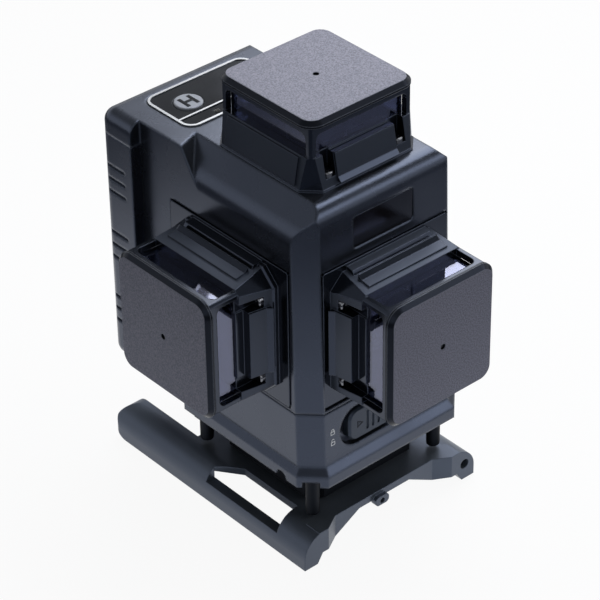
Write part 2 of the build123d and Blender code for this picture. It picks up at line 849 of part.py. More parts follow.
# Rear housing: closes the body, carries grip slots on its sides and holds the battery bay
with BuildPart() as rear_cover:
    with BuildSketch(Plane.XY.offset(rear_foot_z)):
        with Locations((0, (split_y + rear_y) / 2)):
            Rectangle(2 * rear_half, rear_y - split_y)
    extrude(amount=deck_z - rear_foot_z)
    fillet(rear_cover.edges().filter_by(Axis.Z).group_by(Axis.Y)[-1], rear_corner_r)
    foot_edges = rear_cover.faces().sort_by(Axis.Z)[0].edges()
    fillet(foot_edges.filter_by(lambda e: e.center().Y > split_y + 1), deck_rim_r)
    with BuildSketch(Plane.XZ.offset(-rear_y)):
        with BuildLine():
            Polyline(
                (body_top_z + shoulder_half - deck_z, deck_z),
                (rear_half, deck_z),
                (rear_half, body_top_z + shoulder_half - rear_half),
                close=True,
            )
        make_face()
    extrude(amount=rear_y - split_y, mode=Mode.SUBTRACT)
    with BuildSketch(Plane.XZ.offset(-bay_front_y)):
        with Locations((0, (bay_foot_z + bay_top_z) / 2)):
            Rectangle(2 * bay_half, bay_top_z - bay_foot_z)
    extrude(amount=bay_front_y - rear_y, mode=Mode.SUBTRACT)
    with BuildSketch(Plane.XZ.offset(-split_y)):
        with Locations(*[(x, contact_z) for x in contact_x]):
            Rectangle(contact_w + 2 * free_gap, contact_h + 2 * free_gap)
    extrude(amount=split_y - bay_front_y, mode=Mode.SUBTRACT)
    for side in (-1, 1):
        flank = Plane((side * rear_half, 0, 0), x_dir=(0, side, 0), z_dir=(side, 0, 0))
        with BuildSketch(flank):
            for group_z in slot_group_z:
                for step in range(3):
                    with Locations((side * sum(slot_y) / 2, group_z - step * slot_pitch)):
                        SlotOverall(slot_y[1] - slot_y[0], slot_h)
        extrude(amount=-slot_depth, mode=Mode.SUBTRACT)
    for hole_r, near_y, far_y in (
        (rear_screw_r + screw_slack, split_y, rear_screw_seat_y),
        (rear_screw_head_r + sunk_gap, rear_screw_seat_y, rear_y),
    ):
        with BuildSketch(Plane.XZ.offset(-near_y)):
            with Locations(*rear_screws_at):
                Circle(hole_r)
        extrude(amount=near_y - far_y, mode=Mode.SUBTRACT)
save(rear_cover.part, "rear_cover")

with BuildPart() as rear_screws:
    with BuildSketch(Plane.XZ.offset(-rear_screw_seat_y)):
        with Locations(*rear_screws_at):
            Circle(rear_screw_head_r)
    extrude(amount=-rear_screw_head_h)
    with BuildSketch(Plane.XZ.offset(-rear_screw_seat_y)):
        with Locations(*rear_screws_at):
            Circle(rear_screw_r)
    extrude(amount=rear_screw_seat_y - split_y + rear_screw_bite - hole_over)
    with BuildSketch(Plane.XZ.offset(-rear_screw_seat_y - rear_screw_head_h)):
        with Locations(*rear_screws_at):
            RegularPolygon(drive_r, 6)
    extrude(amount=drive_depth, mode=Mode.SUBTRACT)
save(rear_screws.part, "rear_screws")

with BuildPart() as case_screws:
    for x, y, seat_z in case_screws_at:
        with BuildSketch(Plane.XY.offset(seat_z)):
            with Locations((x, y)):
                Circle(case_screw_head_r)
        extrude(amount=-case_screw_head_h)
        with BuildSketch(Plane.XY.offset(seat_z)):
            with Locations((x, y)):
                Circle(case_screw_r)
        extrude(amount=case_screw_top_z - seat_z)
        with BuildSketch(Plane.XY.offset(seat_z - case_screw_head_h)):
            with Locations((x, y)):
                RegularPolygon(drive_r, 6)
        extrude(amount=drive_depth, mode=Mode.SUBTRACT)
save(case_screws.part, "case_screws")

# Battery pack with a thumb recess, and the spring contacts that reach it from the main board
with BuildPart() as battery_pack:
    with BuildSketch(Plane.XZ.offset(-bay_front_y - pack_gap)):
        with Locations((0, (bay_foot_z + bay_top_z) / 2)):
            Rectangle(2 * (bay_half - pack_gap), bay_top_z - bay_foot_z - 2 * pack_gap)
    extrude(amount=bay_front_y + 2 * pack_gap - rear_y)
    chamfer(battery_pack.faces().sort_by(Axis.Y)[-1].edges(), pack_bevel)
    with BuildSketch(Plane.XZ.offset(-rear_y + pack_gap)):
        with Locations((0, bay_top_z - thumb_drop)):
            SlotOverall(thumb_l, thumb_h)
    extrude(amount=thumb_depth, mode=Mode.SUBTRACT)
    with BuildSketch(Plane.XZ.offset(-rear_y + pack_gap + thumb_depth)):
        for step in (-1, 0, 1):
            with Locations((0, bay_top_z - thumb_drop + thumb_rib_pitch * step)):
                SlotOverall(thumb_l / 2, thumb_rib_w)
    extrude(amount=-thumb_depth / 2)
save(battery_pack.part, "battery_pack")

with BuildPart() as battery_contacts:
    with BuildSketch(Plane.XZ.offset(-board_y - board_t)):
        with Locations(*[(x, contact_z) for x in contact_x]):
            Rectangle(contact_w, contact_h)
    extrude(amount=board_y + board_t - bay_front_y - pack_gap / 2)
save(battery_contacts.part, "battery_contacts")

# Keypad: gloss panel, raised silver outline, indicator lenses and two keys
with BuildPart() as keypad_panel:
    with BuildSketch(Plane.XY.offset(body_top_z - keypad_recess)):
        with Locations((keypad_x, keypad_y)):
            RectangleRounded(keypad_l - 2 * screw_slack, keypad_w - 2 * screw_slack, keypad_r)
        with Locations(*keys_at):
            Circle(key_r + key_gap, mode=Mode.SUBTRACT)
        with Locations(*lenses_at):
            Circle(lens_r + screw_slack, mode=Mode.SUBTRACT)
    extrude(amount=keypad_t)
save(keypad_panel.part, "keypad_panel")

with BuildPart() as keypad_trim:
    with BuildSketch(Plane.XY.offset(body_top_z - keypad_recess + keypad_t)):
        with Locations((keypad_x, keypad_y)):
            RectangleRounded(keypad_l - 2 * trim_inset, keypad_w - 2 * trim_inset, keypad_r)
            RectangleRounded(
                keypad_l - 2 * trim_w, keypad_w - 2 * trim_w, keypad_r - trim_w, mode=Mode.SUBTRACT
            )
        with Locations((keypad_x, separator_y)):
            Rectangle(keypad_l - trim_w, separator_w)
    extrude(amount=trim_t)
save(keypad_trim.part, "keypad_trim")

with BuildPart() as indicator_lenses:
    with BuildSketch(Plane.XY.offset(body_top_z - keypad_recess)):
        with Locations(*lenses_at):
            Circle(lens_r)
    extrude(amount=keypad_t + lens_rise)
save(indicator_lenses.part, "indicator_lenses")


def push_key(place):
    """Round key cap on a stem."""
    with BuildPart() as key:
        with BuildSketch(Plane.XY.offset(key_disc_z)):
            with Locations(place):
                Circle(key_r)
        extrude(amount=key_top_z - key_disc_z)
        fillet(key.edges().filter_by(GeomType.CIRCLE).group_by(Axis.Z)[-1], key_edge_r)
        with BuildSketch(Plane.XY.offset(key_stem_z)):
            with Locations(place):
                Circle(key_stem_r)
        extrude(amount=key_disc_z - key_stem_z)
    return key.part


save(push_key(keys_at[0]), "mode_key")
save(push_key(keys_at[1]), "power_key")

with BuildPart() as key_board:
    with BuildSketch(Plane.XY.offset(key_stem_z - key_board_gap - board_t)):
        with Locations((0, key_board_y)):
            Rectangle(key_board_l, key_board_w)
    extrude(amount=board_t)
save(key_board.part, "key_board")

with BuildPart() as main_board:
    with BuildSketch(Plane.XZ.offset(-board_y)):
        with Locations((0, main_board_z)):
            Rectangle(main_board_w, main_board_h)
    extrude(amount=-board_t)
    with BuildSketch(Plane.XZ.offset(-board_y)):
        with Locations(*chips_at):
            Rectangle(chip_w, chip_w)
        with Locations(*small_chips_at):
            Rectangle(small_chip_w, small_chip_h)
    extrude(amount=chip_t)
save(main_board.part, "main_board")

with BuildPart() as label_plate:
    with BuildSketch(front_wall.offset(-label_floor_y)):
        with Locations((sum(label_x) / 2, sum(label_z) / 2)):
            label_l = label_x[1] - label_x[0] - 2 * label_gap
            label_h = label_z[1] - label_z[0] - 2 * label_gap
            RectangleRounded(label_l, label_h, label_r - label_gap)
    extrude(amount=label_t)
save(label_plate.part, "label_plate")

# Lock switch: slider in front, retaining clip behind the wall, lever and its pin
with BuildPart() as lock_slider:
    with BuildSketch(front_wall.offset(-slider_front_y)):
        with Locations((sum(slider_x) / 2, switch_z)):
            RectangleRounded(slider_x[1] - slider_x[0], slider_h, slider_r)
    extrude(amount=slider_front_y - switch_floor_y + slider_gap)
    chamfer(lock_slider.faces().sort_by(Axis.Y)[0].edges(), slider_bevel)
    with BuildSketch(front_wall.offset(-slider_front_y)):
        for step in (-1, 0, 1):
            with Locations((sum(slider_x) / 2 + grip_pitch * step, switch_z)):
                SlotOverall(grip_l, grip_w, rotation=90)
    extrude(amount=-grip_depth, mode=Mode.SUBTRACT)
    with BuildSketch(front_wall.offset(-switch_floor_y)):
        with Locations((sum(stem_x) / 2, switch_z)):
            Rectangle(stem_x[1] - stem_x[0], stem_h)
    extrude(amount=switch_floor_y - clip_y)
    with BuildSketch(front_wall.offset(-switch_floor_y)):
        with Locations((sum(stem_x) / 2, switch_z)):
            Rectangle(stem_x[1] - stem_x[0], stem_h)
    extrude(amount=stem_root)
save(lock_slider.part, "lock_slider")

with BuildPart() as slider_clip:
    with BuildSketch(front_wall.offset(-clip_y)):
        with Locations((sum(stem_x) / 2, switch_z)):
            RectangleRounded(stem_x[1] - stem_x[0] + clip_over_x, stem_h + clip_over_z, clip_r)
    extrude(amount=-clip_t)
save(slider_clip.part, "slider_clip")

with BuildPart() as lock_lever:
    with BuildSketch(Plane.YZ.offset(lever_x[0])):
        with Locations((lever_pivot_y, lever_pivot_z)):
            Circle(lever_hub_r)
        with BuildLine():
            Polyline(*lever_outline, close=True)
        make_face()
        with Locations((lever_pivot_y, lever_pivot_z)):
            Circle(pin_r + running_gap, mode=Mode.SUBTRACT)
    extrude(amount=lever_x[1] - lever_x[0])
save(lock_lever.part, "lock_lever")

with BuildPart() as lever_pin:
    with BuildSketch(Plane.YZ.offset(lever_x[0] - lever_pin_over)):
        with Locations((lever_pivot_y, lever_pivot_z)):
            Circle(pin_r)
    extrude(amount=lever_x[1] - lever_x[0] + 2 * lever_pin_over)
save(lever_pin.part, "lever_pin")

# Swivel: turned spindle with the tripod thread, washers, nut and the block that turns on it
with BuildPart() as swivel_spindle:
    with BuildSketch(Plane.XZ):
        with BuildLine():
            Polyline(
                (tripod_r, 0),
                (spindle_shank_r, 0),
                (spindle_shank_r, tray_top_z),
                (spindle_flange_r, tray_top_z),
                (spindle_flange_r, spindle_flange_z),
                (journal_r, spindle_flange_z),
                (journal_r, journal_top_z),
                (tip_r, journal_top_z),
                (tip_r, tip_top_z),
                (0, tip_top_z),
                (0, tripod_depth),
                (tripod_r, tripod_depth),
                close=True,
            )
        make_face()
    revolve(axis=Axis.Z)
    for hole_r, low_z in (
        (spindle_screw_head_r + sunk_gap, spindle_screw_seat_z),
        (spindle_screw_r + screw_slack, tray_top_z),
    ):
        with BuildSketch(Plane.XY.offset(low_z)):
            with PolarLocations(spindle_screw_at, 3):
                Circle(hole_r)
        extrude(amount=spindle_flange_z - low_z, mode=Mode.SUBTRACT)
save(swivel_spindle.part, "swivel_spindle")

with BuildPart() as spindle_screws:
    with BuildSketch(Plane.XY.offset(spindle_screw_seat_z)):
        with PolarLocations(spindle_screw_at, 3):
            Circle(spindle_screw_head_r)
    extrude(amount=spindle_flange_z - spindle_screw_seat_z)
    with BuildSketch(Plane.XY.offset(spindle_screw_foot_z)):
        with PolarLocations(spindle_screw_at, 3):
            Circle(spindle_screw_r)
    extrude(amount=spindle_screw_seat_z - spindle_screw_foot_z)
    with BuildSketch(Plane.XY.offset(spindle_flange_z)):
        with PolarLocations(spindle_screw_at, 3):
            RegularPolygon(drive_r, 6)
    extrude(amount=-drive_depth, mode=Mode.SUBTRACT)
save(spindle_screws.part, "spindle_screws")

with BuildPart() as thrust_washer:
    with BuildSketch(Plane.XY.offset(spindle_flange_z)):
        Circle(washer_r)
        Circle(journal_r + washer_play, mode=Mode.SUBTRACT)
    extrude(amount=washer_t)
save(thrust_washer.part, "thrust_washer")

with BuildPart() as wave_washer:
    with BuildSketch(Plane.XY.offset(journal_top_z + running_gap)):
        Circle(wave_r)
        Circle(tip_r + running_gap, mode=Mode.SUBTRACT)
    extrude(amount=nut_z - journal_top_z - 2 * running_gap)
save(wave_washer.part, "wave_washer")

with BuildPart() as spindle_nut:
    with BuildSketch(Plane.XY.offset(nut_z)):
        RegularPolygon(nut_r, 6)
        Circle(tip_r + running_gap, mode=Mode.SUBTRACT)
    extrude(amount=nut_h)
save(spindle_nut.part, "spindle_nut")

with BuildPart() as swivel_block:
    with BuildSketch(Plane.XY.offset(block_z)) as section:
        Rectangle(2 * block_half, 2 * block_half)
        chamfer(section.vertices(), block_corner)
    extrude(amount=flange_z - block_z)
    with BuildSketch(Plane.XY.offset(block_z)):
        Circle(journal_r + running_gap)
    extrude(amount=flange_z - block_z, mode=Mode.SUBTRACT)
    with BuildSketch(Plane.XY.offset(block_z)):
        Circle(spindle_flange_r + 2 * free_gap)
    extrude(amount=spindle_flange_z + washer_t + washer_gap - block_z, mode=Mode.SUBTRACT)
    for hole_r, low_z, high_z in (
        (block_screw_head_r + sunk_gap, block_z, block_screw_seat_z),
        (block_screw_r + screw_slack, block_screw_seat_z, flange_z),
    ):
        with BuildSketch(Plane.XY.offset(low_z)):
            with GridLocations(2 * block_screw_at, 2 * block_screw_at, 2, 2):
                Circle(hole_r)
        extrude(amount=high_z - low_z, mode=Mode.SUBTRACT)
save(swivel_block.part, "swivel_block")

with BuildPart() as block_screws:
    with BuildSketch(Plane.XY.offset(block_screw_seat_z)):
        with GridLocations(2 * block_screw_at, 2 * block_screw_at, 2, 2):
            Circle(block_screw_head_r)
    extrude(amount=-block_screw_head_h)
    with BuildSketch(Plane.XY.offset(block_screw_seat_z)):
        with GridLocations(2 * block_screw_at, 2 * block_screw_at, 2, 2):
            Circle(block_screw_r)
    extrude(amount=floor_z - hole_over - block_screw_seat_z)
save(block_screws.part, "block_screws")

with BuildPart() as corner_feet:
    with BuildSketch(Plane.XY.offset(foot_z)):
        with GridLocations(2 * foot_at[0], 2 * foot_at[1], 2, 2):
            Circle(foot_r)
    extrude(amount=flange_z + foot_notch - foot_z)
    fillet(corner_feet.edges().filter_by(GeomType.CIRCLE).group_by(Axis.Z)[0], foot_edge_r)
save(corner_feet.part, "corner_feet")

# Base: tray with two rails, strap windows, front lugs and eye, and the boss round the spindle
with BuildPart() as base_frame:
    with BuildSketch(Plane.XY.offset(tray_z)):
        with BuildLine():
            Polyline(
                (0, tray_front_y),
                (tray_front_half, tray_front_y),
                (lug_inner_x, lug_front_y),
                (rail_inner_x + through, lug_front_y),
                (rail_inner_x + through, fork_y),
                *fork_notch,
                (tongue_half, tongue_y),
                (0, tongue_y),
                close=True,
            )
        make_face()
        mirror(about=Plane.YZ)
    extrude(amount=tray_top_z - tray_z)
    with BuildSketch(Plane.XZ.offset(-lug_front_y)):
        with BuildLine():
            Polyline(
                (rail_outer_x - rail_top_r, tray_top_z),
                (rail_inner_x, tray_top_z),
                (rail_inner_x, rail_web_z),
                (rail_sole_x, rail_foot_z),
                (rail_outer_x, rail_foot_z),
                (rail_outer_x, tray_top_z - rail_top_r),
            )
            RadiusArc(
                (rail_outer_x, tray_top_z - rail_top_r),
                (rail_outer_x - rail_top_r, tray_top_z),
                -rail_top_r,
            )
        make_face()
        mirror(about=Plane.YZ)
    extrude(amount=lug_front_y - rail_far_y)
    # Far ends of the rails, rounded in side view and at the outer corner in plan
    with BuildSketch(Plane.YZ.offset(-rail_outer_x - through)):
        with Locations((rail_far_y, tray_top_z / 2)):
            Rectangle(2 * nose_r, tray_top_z + 2 * through)
        with Locations((rail_far_y - rail_outer_x, (rail_foot_z + tray_top_z) / 2)):
            RectangleRounded(2 * rail_outer_x, tray_top_z - rail_foot_z, nose_r, mode=Mode.SUBTRACT)
    extrude(amount=2 * (rail_outer_x + through), mode=Mode.SUBTRACT)
    with BuildSketch(Plane.XY):
        with Locations((rail_outer_x, rail_far_y)):
            Rectangle(2 * rail_end_r, 2 * rail_end_r)
        with Locations((rail_outer_x - 2 * rail_end_r, rail_far_y - rail_outer_x)):
            RectangleRounded(4 * rail_end_r, 2 * rail_outer_x, rail_end_r, mode=Mode.SUBTRACT)
        mirror(about=Plane.YZ)
    extrude(amount=tray_top_z, mode=Mode.SUBTRACT)
    with BuildSketch(Plane.XY.offset(lug_wall_z)):
        with BuildLine():
            Polyline(
                (tray_front_half, tray_front_y),
                (lug_inner_x, lug_front_y),
                (lug_back[0][0], lug_front_y),
                *lug_back,
                close=True,
            )
        make_face()
        mirror(about=Plane.YZ)
    extrude(amount=tray_top_z - lug_wall_z)
    with BuildSketch(Plane.XZ.offset(-tray_front_y)):
        with BuildLine():
            Polyline(
                (gusset_x, tray_z),
                (tray_front_half, lug_wall_z),
                (tray_front_half + through, lug_wall_z),
                (tray_front_half + through, tray_z + through),
                (gusset_x, tray_z + through),
                close=True,
            )
        make_face()
        mirror(about=Plane.YZ)
    extrude(amount=-gusset_t)
    # Strap windows, with the rail cut down beside them
    near_y, bend_y, far_y = window_y
    with BuildSketch(Plane.XY):
        with BuildLine():
            Polyline(
                (window_outer_x, near_y - window_skew),
                (lug_inner_x, near_y),
                (lug_inner_x, bend_y),
                (window_outer_x, far_y),
                close=True,
            )
        make_face()
        mirror(about=Plane.YZ)
    extrude(amount=tray_top_z, mode=Mode.SUBTRACT)
    with BuildSketch(Plane.XY.offset(low_rail_z)):
        with BuildLine():
            Polyline(
                (rail_outer_x + through, near_y - 2 * window_skew),
                (window_outer_x, near_y - window_skew),
                (lug_inner_x, near_y),
                (lug_inner_x, bend_y),
                (window_outer_x, far_y),
                (rail_outer_x + through, far_y),
                close=True,
            )
        make_face()
        mirror(about=Plane.YZ)
    extrude(amount=tray_top_z - low_rail_z, mode=Mode.SUBTRACT)
    # The rail is hollow under the plate beyond each window
    with BuildSketch(Plane.XY):
        with Locations(((rail_inner_x + window_outer_x) / 2, (near_y + hollow_y) / 2)):
            Rectangle(window_outer_x - rail_inner_x, hollow_y - near_y)
        mirror(about=Plane.YZ)
    extrude(amount=tray_z, mode=Mode.SUBTRACT)
    # Spindle boss and its screw holes
    with BuildSketch(Plane.XY):
        Circle(boss_r)
    extrude(amount=tray_top_z)
    with BuildSketch(Plane.XY):
        Circle(spindle_shank_r + slide_fit)
    extrude(amount=tray_top_z, mode=Mode.SUBTRACT)
    with BuildSketch(Plane.XY.offset(spindle_screw_foot_z - hole_over)):
        with PolarLocations(spindle_screw_at, 3):
            Circle(spindle_screw_r + screw_slack)
    extrude(amount=tray_top_z - spindle_screw_foot_z + hole_over, mode=Mode.SUBTRACT)
    # Front eye, lug hole and pad pockets
    with BuildSketch(front_wall.offset(-eye_back_y)):
        with Locations((sum(eye_x) / 2, sum(eye_z) / 2)):
            RectangleRounded(eye_x[1] - eye_x[0], eye_z[1] - eye_z[0], eye_r)
        with Locations((sum(eye_x) / 2, eye_hole_z)):
            Circle(eye_hole_r, mode=Mode.SUBTRACT)
    extrude(amount=eye_t)
    with BuildSketch(front_wall.offset(-lug_front_y)):
        with Locations(lug_hole):
            Circle(lug_hole_r)
    extrude(amount=-lug_hole_depth, mode=Mode.SUBTRACT)
    with BuildSketch(Plane.XY.offset(rail_foot_z)):
        with Locations(*pads_at):
            Rectangle(pad_w + 2 * screw_slack, pad_l + 2 * screw_slack)
    extrude(amount=pad_t - rail_foot_z, mode=Mode.SUBTRACT)
save(base_frame.part, "base_frame")

with BuildPart() as rail_pads:
    with BuildSketch(Plane.XY):
        with Locations(*pads_at):
            Rectangle(pad_w, pad_l)
    extrude(amount=pad_t)
save(rail_pads.part, "rail_pads")

# Gimbal: hanger fixed under the roof, ring that rocks about X, pendulum that rocks about Y
with BuildPart() as gimbal_hanger:
    with BuildSketch(Plane.XY.offset(hanger_z)):
        Rectangle(2 * hanger_lug_x[1], hanger_w)
        Circle(hanger_bore_r, mode=Mode.SUBTRACT)
    extrude(amount=hanger_t)
    with BuildSketch(Plane.XY.offset(hanger_z + hanger_t)):
        with GridLocations(2 * hanger_post_at[0], 2 * hanger_post_at[1], 2, 2):
            Circle(hanger_post_r)
    extrude(amount=cavity_top_z - hanger_z - hanger_t)
    with BuildSketch(Plane.XY.offset(hanger_foot_z)):
        with Locations((-sum(hanger_lug_x) / 2, 0), (sum(hanger_lug_x) / 2, 0)):
            Rectangle(hanger_lug_x[1] - hanger_lug_x[0], hanger_lug_w)
    extrude(amount=hanger_z - hanger_foot_z)
    with BuildSketch(Plane.YZ.offset(-hanger_lug_x[1])):
        with Locations((0, gimbal_z)):
            Circle(hanger_bearing_r + press_gap)
    extrude(amount=2 * hanger_lug_x[1], mode=Mode.SUBTRACT)
save(gimbal_hanger.part, "gimbal_hanger")

with BuildPart() as gimbal_ring:
    with BuildSketch(Plane.XY.offset(gimbal_z - ring_h / 2)):
        Circle(ring_outer_r)
        Circle(ring_inner_r, mode=Mode.SUBTRACT)
    extrude(amount=ring_h)
    with BuildSketch(Plane.YZ.offset(-ring_outer_r)):
        with Locations((0, gimbal_z)):
            Circle(pin_r + press_gap)
    extrude(amount=2 * ring_outer_r, mode=Mode.SUBTRACT)
    with BuildSketch(Plane.XZ.offset(-ring_outer_r)):
        with Locations((0, gimbal_z)):
            Circle(ring_bearing_r + press_gap)
    extrude(amount=2 * ring_outer_r, mode=Mode.SUBTRACT)
save(gimbal_ring.part, "gimbal_ring")


def across(plane, inner, outer, outer_r, inner_r):
    """Two rods or sleeves on one axis, mirrored either side of the swivel axis."""
    with BuildPart() as pair:
        for side in (-1, 1):
            with BuildSketch(plane.offset(side * inner)):
                with Locations((0, gimbal_z)):
                    Circle(outer_r)
                    if inner_r:
                        Circle(inner_r, mode=Mode.SUBTRACT)
            extrude(amount=side * (outer - inner))
    return pair.part


save(across(Plane.YZ, *ring_pin_span, pin_r, 0), "ring_pins")
save(across(Plane.YZ, *hanger_bearing_span, hanger_bearing_r, pin_r + bearing_gap), "hanger_bearings")
save(across(Plane.XZ, *pendulum_pin_span, pin_r, 0), "pendulum_pins")
save(across(Plane.XZ, *ring_bearing_span, ring_bearing_r, pin_r + bearing_gap), "ring_bearings")

# Outer ends of the three optical arms, and where each laser module starts along its axis
arms = {
    "top": (heads["top"][0].offset(-top_arm_drop), top_face_z - top_arm_drop - module_top_z),
    "front": (heads["front"][0].offset(-side_arm_drop), module_start - front_face_y - side_arm_drop),
    "side": (heads["side"][0].offset(-side_arm_drop), module_start - side_face_x - side_arm_drop),
}


def prism_tube(plane):
    """Glass tube closed by a disc that carries the beam-spreading cone."""
    profile = Plane(plane.origin, x_dir=plane.x_dir, z_dir=plane.y_dir * -1)
    inner_r = module_flange_r - tube_wall
    with BuildPart() as tube:
        with BuildSketch(profile):
            with BuildLine():
                Polyline(
                    (0, -prism_disc_t - prism_cone_r),
                    (prism_cone_r, -prism_disc_t),
                    (inner_r, -prism_disc_t),
                    (inner_r, -tube_l),
                    (module_flange_r, -tube_l),
                    (module_flange_r, 0),
                    (0, 0),
                    close=True,
                )
            make_face()
        revolve(axis=Axis(plane.origin, plane.z_dir))
    return tube.part


def laser_module(plane, reach):
    """Laser diode barrel with a flange that carries the prism tube."""
    with BuildPart() as module:
        with BuildSketch(plane.offset(-tube_l)):
            Circle(module_flange_r)
        extrude(amount=-module_flange_t)
        with BuildSketch(plane.offset(-tube_l)):
            Circle(module_r)
        extrude(amount=tube_l - reach)
        with BuildSketch(plane.offset(-tube_l)):
            Circle(aperture_r)
        extrude(amount=-aperture_depth, mode=Mode.SUBTRACT)
    return module.part


for arm, (arm_plane, arm_reach) in arms.items():
    save(prism_tube(arm_plane), f"{arm}_prism")
    save(laser_module(arm_plane, arm_reach), f"{arm}_laser_module")

with BuildPart() as pendulum_frame:
    with BuildSketch(Plane.XY.offset(frame_z[0])):
        with Locations((sum(frame_x) / 2, sum(frame_y) / 2)):
            RectangleRounded(frame_x[1] - frame_x[0], frame_y[1] - frame_y[0], frame_r)
    extrude(amount=frame_z[1] - frame_z[0])
    with BuildSketch(Plane.XY.offset(frame_z[1])):
        Circle(sleeve_r)
    extrude(amount=sleeve_top_z - frame_z[1])
    with BuildSketch(Plane.XY.offset(module_top_z)):
        Circle(module_r + slide_fit)
    extrude(amount=sleeve_top_z - module_top_z, mode=Mode.SUBTRACT)
    for arm in ("front", "side"):
        arm_plane, arm_reach = arms[arm]
        with BuildSketch(arm_plane.offset(-arm_reach)):
            Circle(module_r + slide_fit)
        extrude(amount=frame_x[1], mode=Mode.SUBTRACT)
    with BuildSketch(Plane.XZ.offset(-sleeve_r)):
        with Locations((0, gimbal_z)):
            Circle(pin_r + press_gap)
    extrude(amount=2 * sleeve_r, mode=Mode.SUBTRACT)
save(pendulum_frame.part, "pendulum_frame")

with BuildPart() as balance_weight:
    with BuildSketch(Plane.XY.offset(plate_z + plate_t)):
        with Locations(balance_at):
            Circle(balance_r)
    extrude(amount=frame_z[0] - plate_z - plate_t)
save(balance_weight.part, "balance_weight")

with BuildPart() as damping_plate:
    with BuildSketch(Plane.XY.offset(plate_z)):
        Circle(plate_r)
    extrude(amount=plate_t)
save(damping_plate.part, "damping_plate")

with BuildPart() as magnet_bridge:
    with BuildSketch(Plane.XY.offset(bridge_z)):
        Rectangle(bridge_w, bridge_w)
    extrude(amount=bridge_t)
    with BuildSketch(Plane.XY.offset(floor_z)):
        with GridLocations(2 * bridge_leg_at, 2 * bridge_leg_at, 2, 2):
            Rectangle(bridge_leg_w, bridge_leg_w)
    extrude(amount=bridge_z - floor_z)
save(magnet_bridge.part, "magnet_bridge")

with BuildPart() as damping_magnets:
    with BuildSketch(Plane.XY.offset(bridge_z + bridge_t)):
        with GridLocations(2 * magnet_at, 2 * magnet_at, 2, 2):
            Circle(magnet_r)
    extrude(amount=magnet_t)
save(damping_magnets.part, "damping_magnets")
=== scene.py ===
import json
import math

import bpy
import numpy as np
from mathutils import Matrix, Vector


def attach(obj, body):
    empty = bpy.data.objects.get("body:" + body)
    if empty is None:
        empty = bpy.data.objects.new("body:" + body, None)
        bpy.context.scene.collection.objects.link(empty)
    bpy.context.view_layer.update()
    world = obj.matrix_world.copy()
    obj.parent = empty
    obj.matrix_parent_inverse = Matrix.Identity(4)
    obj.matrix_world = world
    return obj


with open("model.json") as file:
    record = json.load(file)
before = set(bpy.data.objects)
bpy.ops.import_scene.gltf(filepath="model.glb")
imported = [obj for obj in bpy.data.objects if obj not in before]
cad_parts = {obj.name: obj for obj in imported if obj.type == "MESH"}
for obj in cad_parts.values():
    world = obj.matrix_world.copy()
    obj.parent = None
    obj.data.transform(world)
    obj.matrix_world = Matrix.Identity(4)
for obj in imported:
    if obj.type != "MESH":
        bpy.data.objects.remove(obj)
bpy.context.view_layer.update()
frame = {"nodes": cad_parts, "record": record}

MM = 0.001

# The photograph's camera: where it stands, which way it looks and how long its lens is
CAMERA_EYE = Vector((-0.5253, -0.5958, 0.6319))
CAMERA_AZIMUTH = math.radians(40.94)
CAMERA_ELEVATION = math.radians(34.93)
CAMERA_ROLL = math.radians(-0.87)
CAMERA_LENS = 166.4
CAMERA_SENSOR = 36.0

# Smudges from handling: their size, the noise between which their colour blends, the noise between which
# their sheen does, and how far the roughness swings to each side
SMUDGE_MM = 24.0
SMUDGE_SPAN = (0.35, 0.75)
SHEEN_SPAN = (0.3, 0.7)
SHEEN_SWING = 0.05

# Moulded edges: their radius, the cosines of turn between which a painted highlight grows, its share and its
# pale colour, and how many rays look for an edge
EDGE_MM = 0.5
EDGE_TURN = (0.99, 0.85)
EDGE_HIGHLIGHT_SHARE = 0.35
EDGE_HIGHLIGHT_COLOUR = "#5c636c"
EDGE_SAMPLES = 6

# Moulded plastics: their IOR, the cool tint of their sheen, how strongly their grain shows, and the cosine of
# a collar's sloping panels with its spread
PLASTIC_IOR = 1.5
COOL_SHEEN = "#c4d6ff"
GRAIN_STRENGTH = 0.35
PANEL_SLOPE = 0.978
PANEL_SPREAD = 0.017

# Caps: the planes just inside which the frosted faces start, the noise between which specks go from dark to
# pale, how deep and strong the frosting is, its gloss, how smooth the rims are, and the painted highlight on
# edges
CAP_TOP_MM = 168.2
CAP_FRONT_MM = -62.4
CAP_SIDE_MM = -65.1
SPECK_SPAN = (0.36, 0.64)
SPECK_DEPTH_MM = 0.03
SPECK_STRENGTH = 0.25
CAP_GLOSS = 0.25
RIM_ROUGHNESS = 0.25
RIM_TURN = (0.995, 0.93)
RIM_HIGHLIGHT_SHARE = 0.7
RIM_HIGHLIGHT_COLOUR = "#7f858f"

# Metal and glass: the depth and strength of tool lines, how dark they are, and the size of dust
LINE_DEPTH_MM = 0.02
LINE_STRENGTH = 0.15
LINE_SHADE = 0.8
DUST_MM = 3.0

# Marks: how far they stand over a face and reach under it, the middles of the key tops and of the arrow, the
# padlocks' places, and the body's drafted front face: where it starts, at which height, and its lean
MARK_RISE_MM = 0.08
MARK_SINK_MM = 0.05
MODE_KEY_MM = (-15.6, 48.7, 142.8)
POWER_KEY_MM = (8.2, 48.7, 142.8)
ARROW_MM = (-13.0, -35.9, 50.0)
LOCKS_X_MM = -25.4
CLOSED_LOCK_Z_MM = 52.4
OPEN_LOCK_Z_MM = 48.0
FRONT_FOOT_MM = -35.8
FRONT_FOOT_Z_MM = 39.0
FRONT_DRAFT = 2.6 / 103
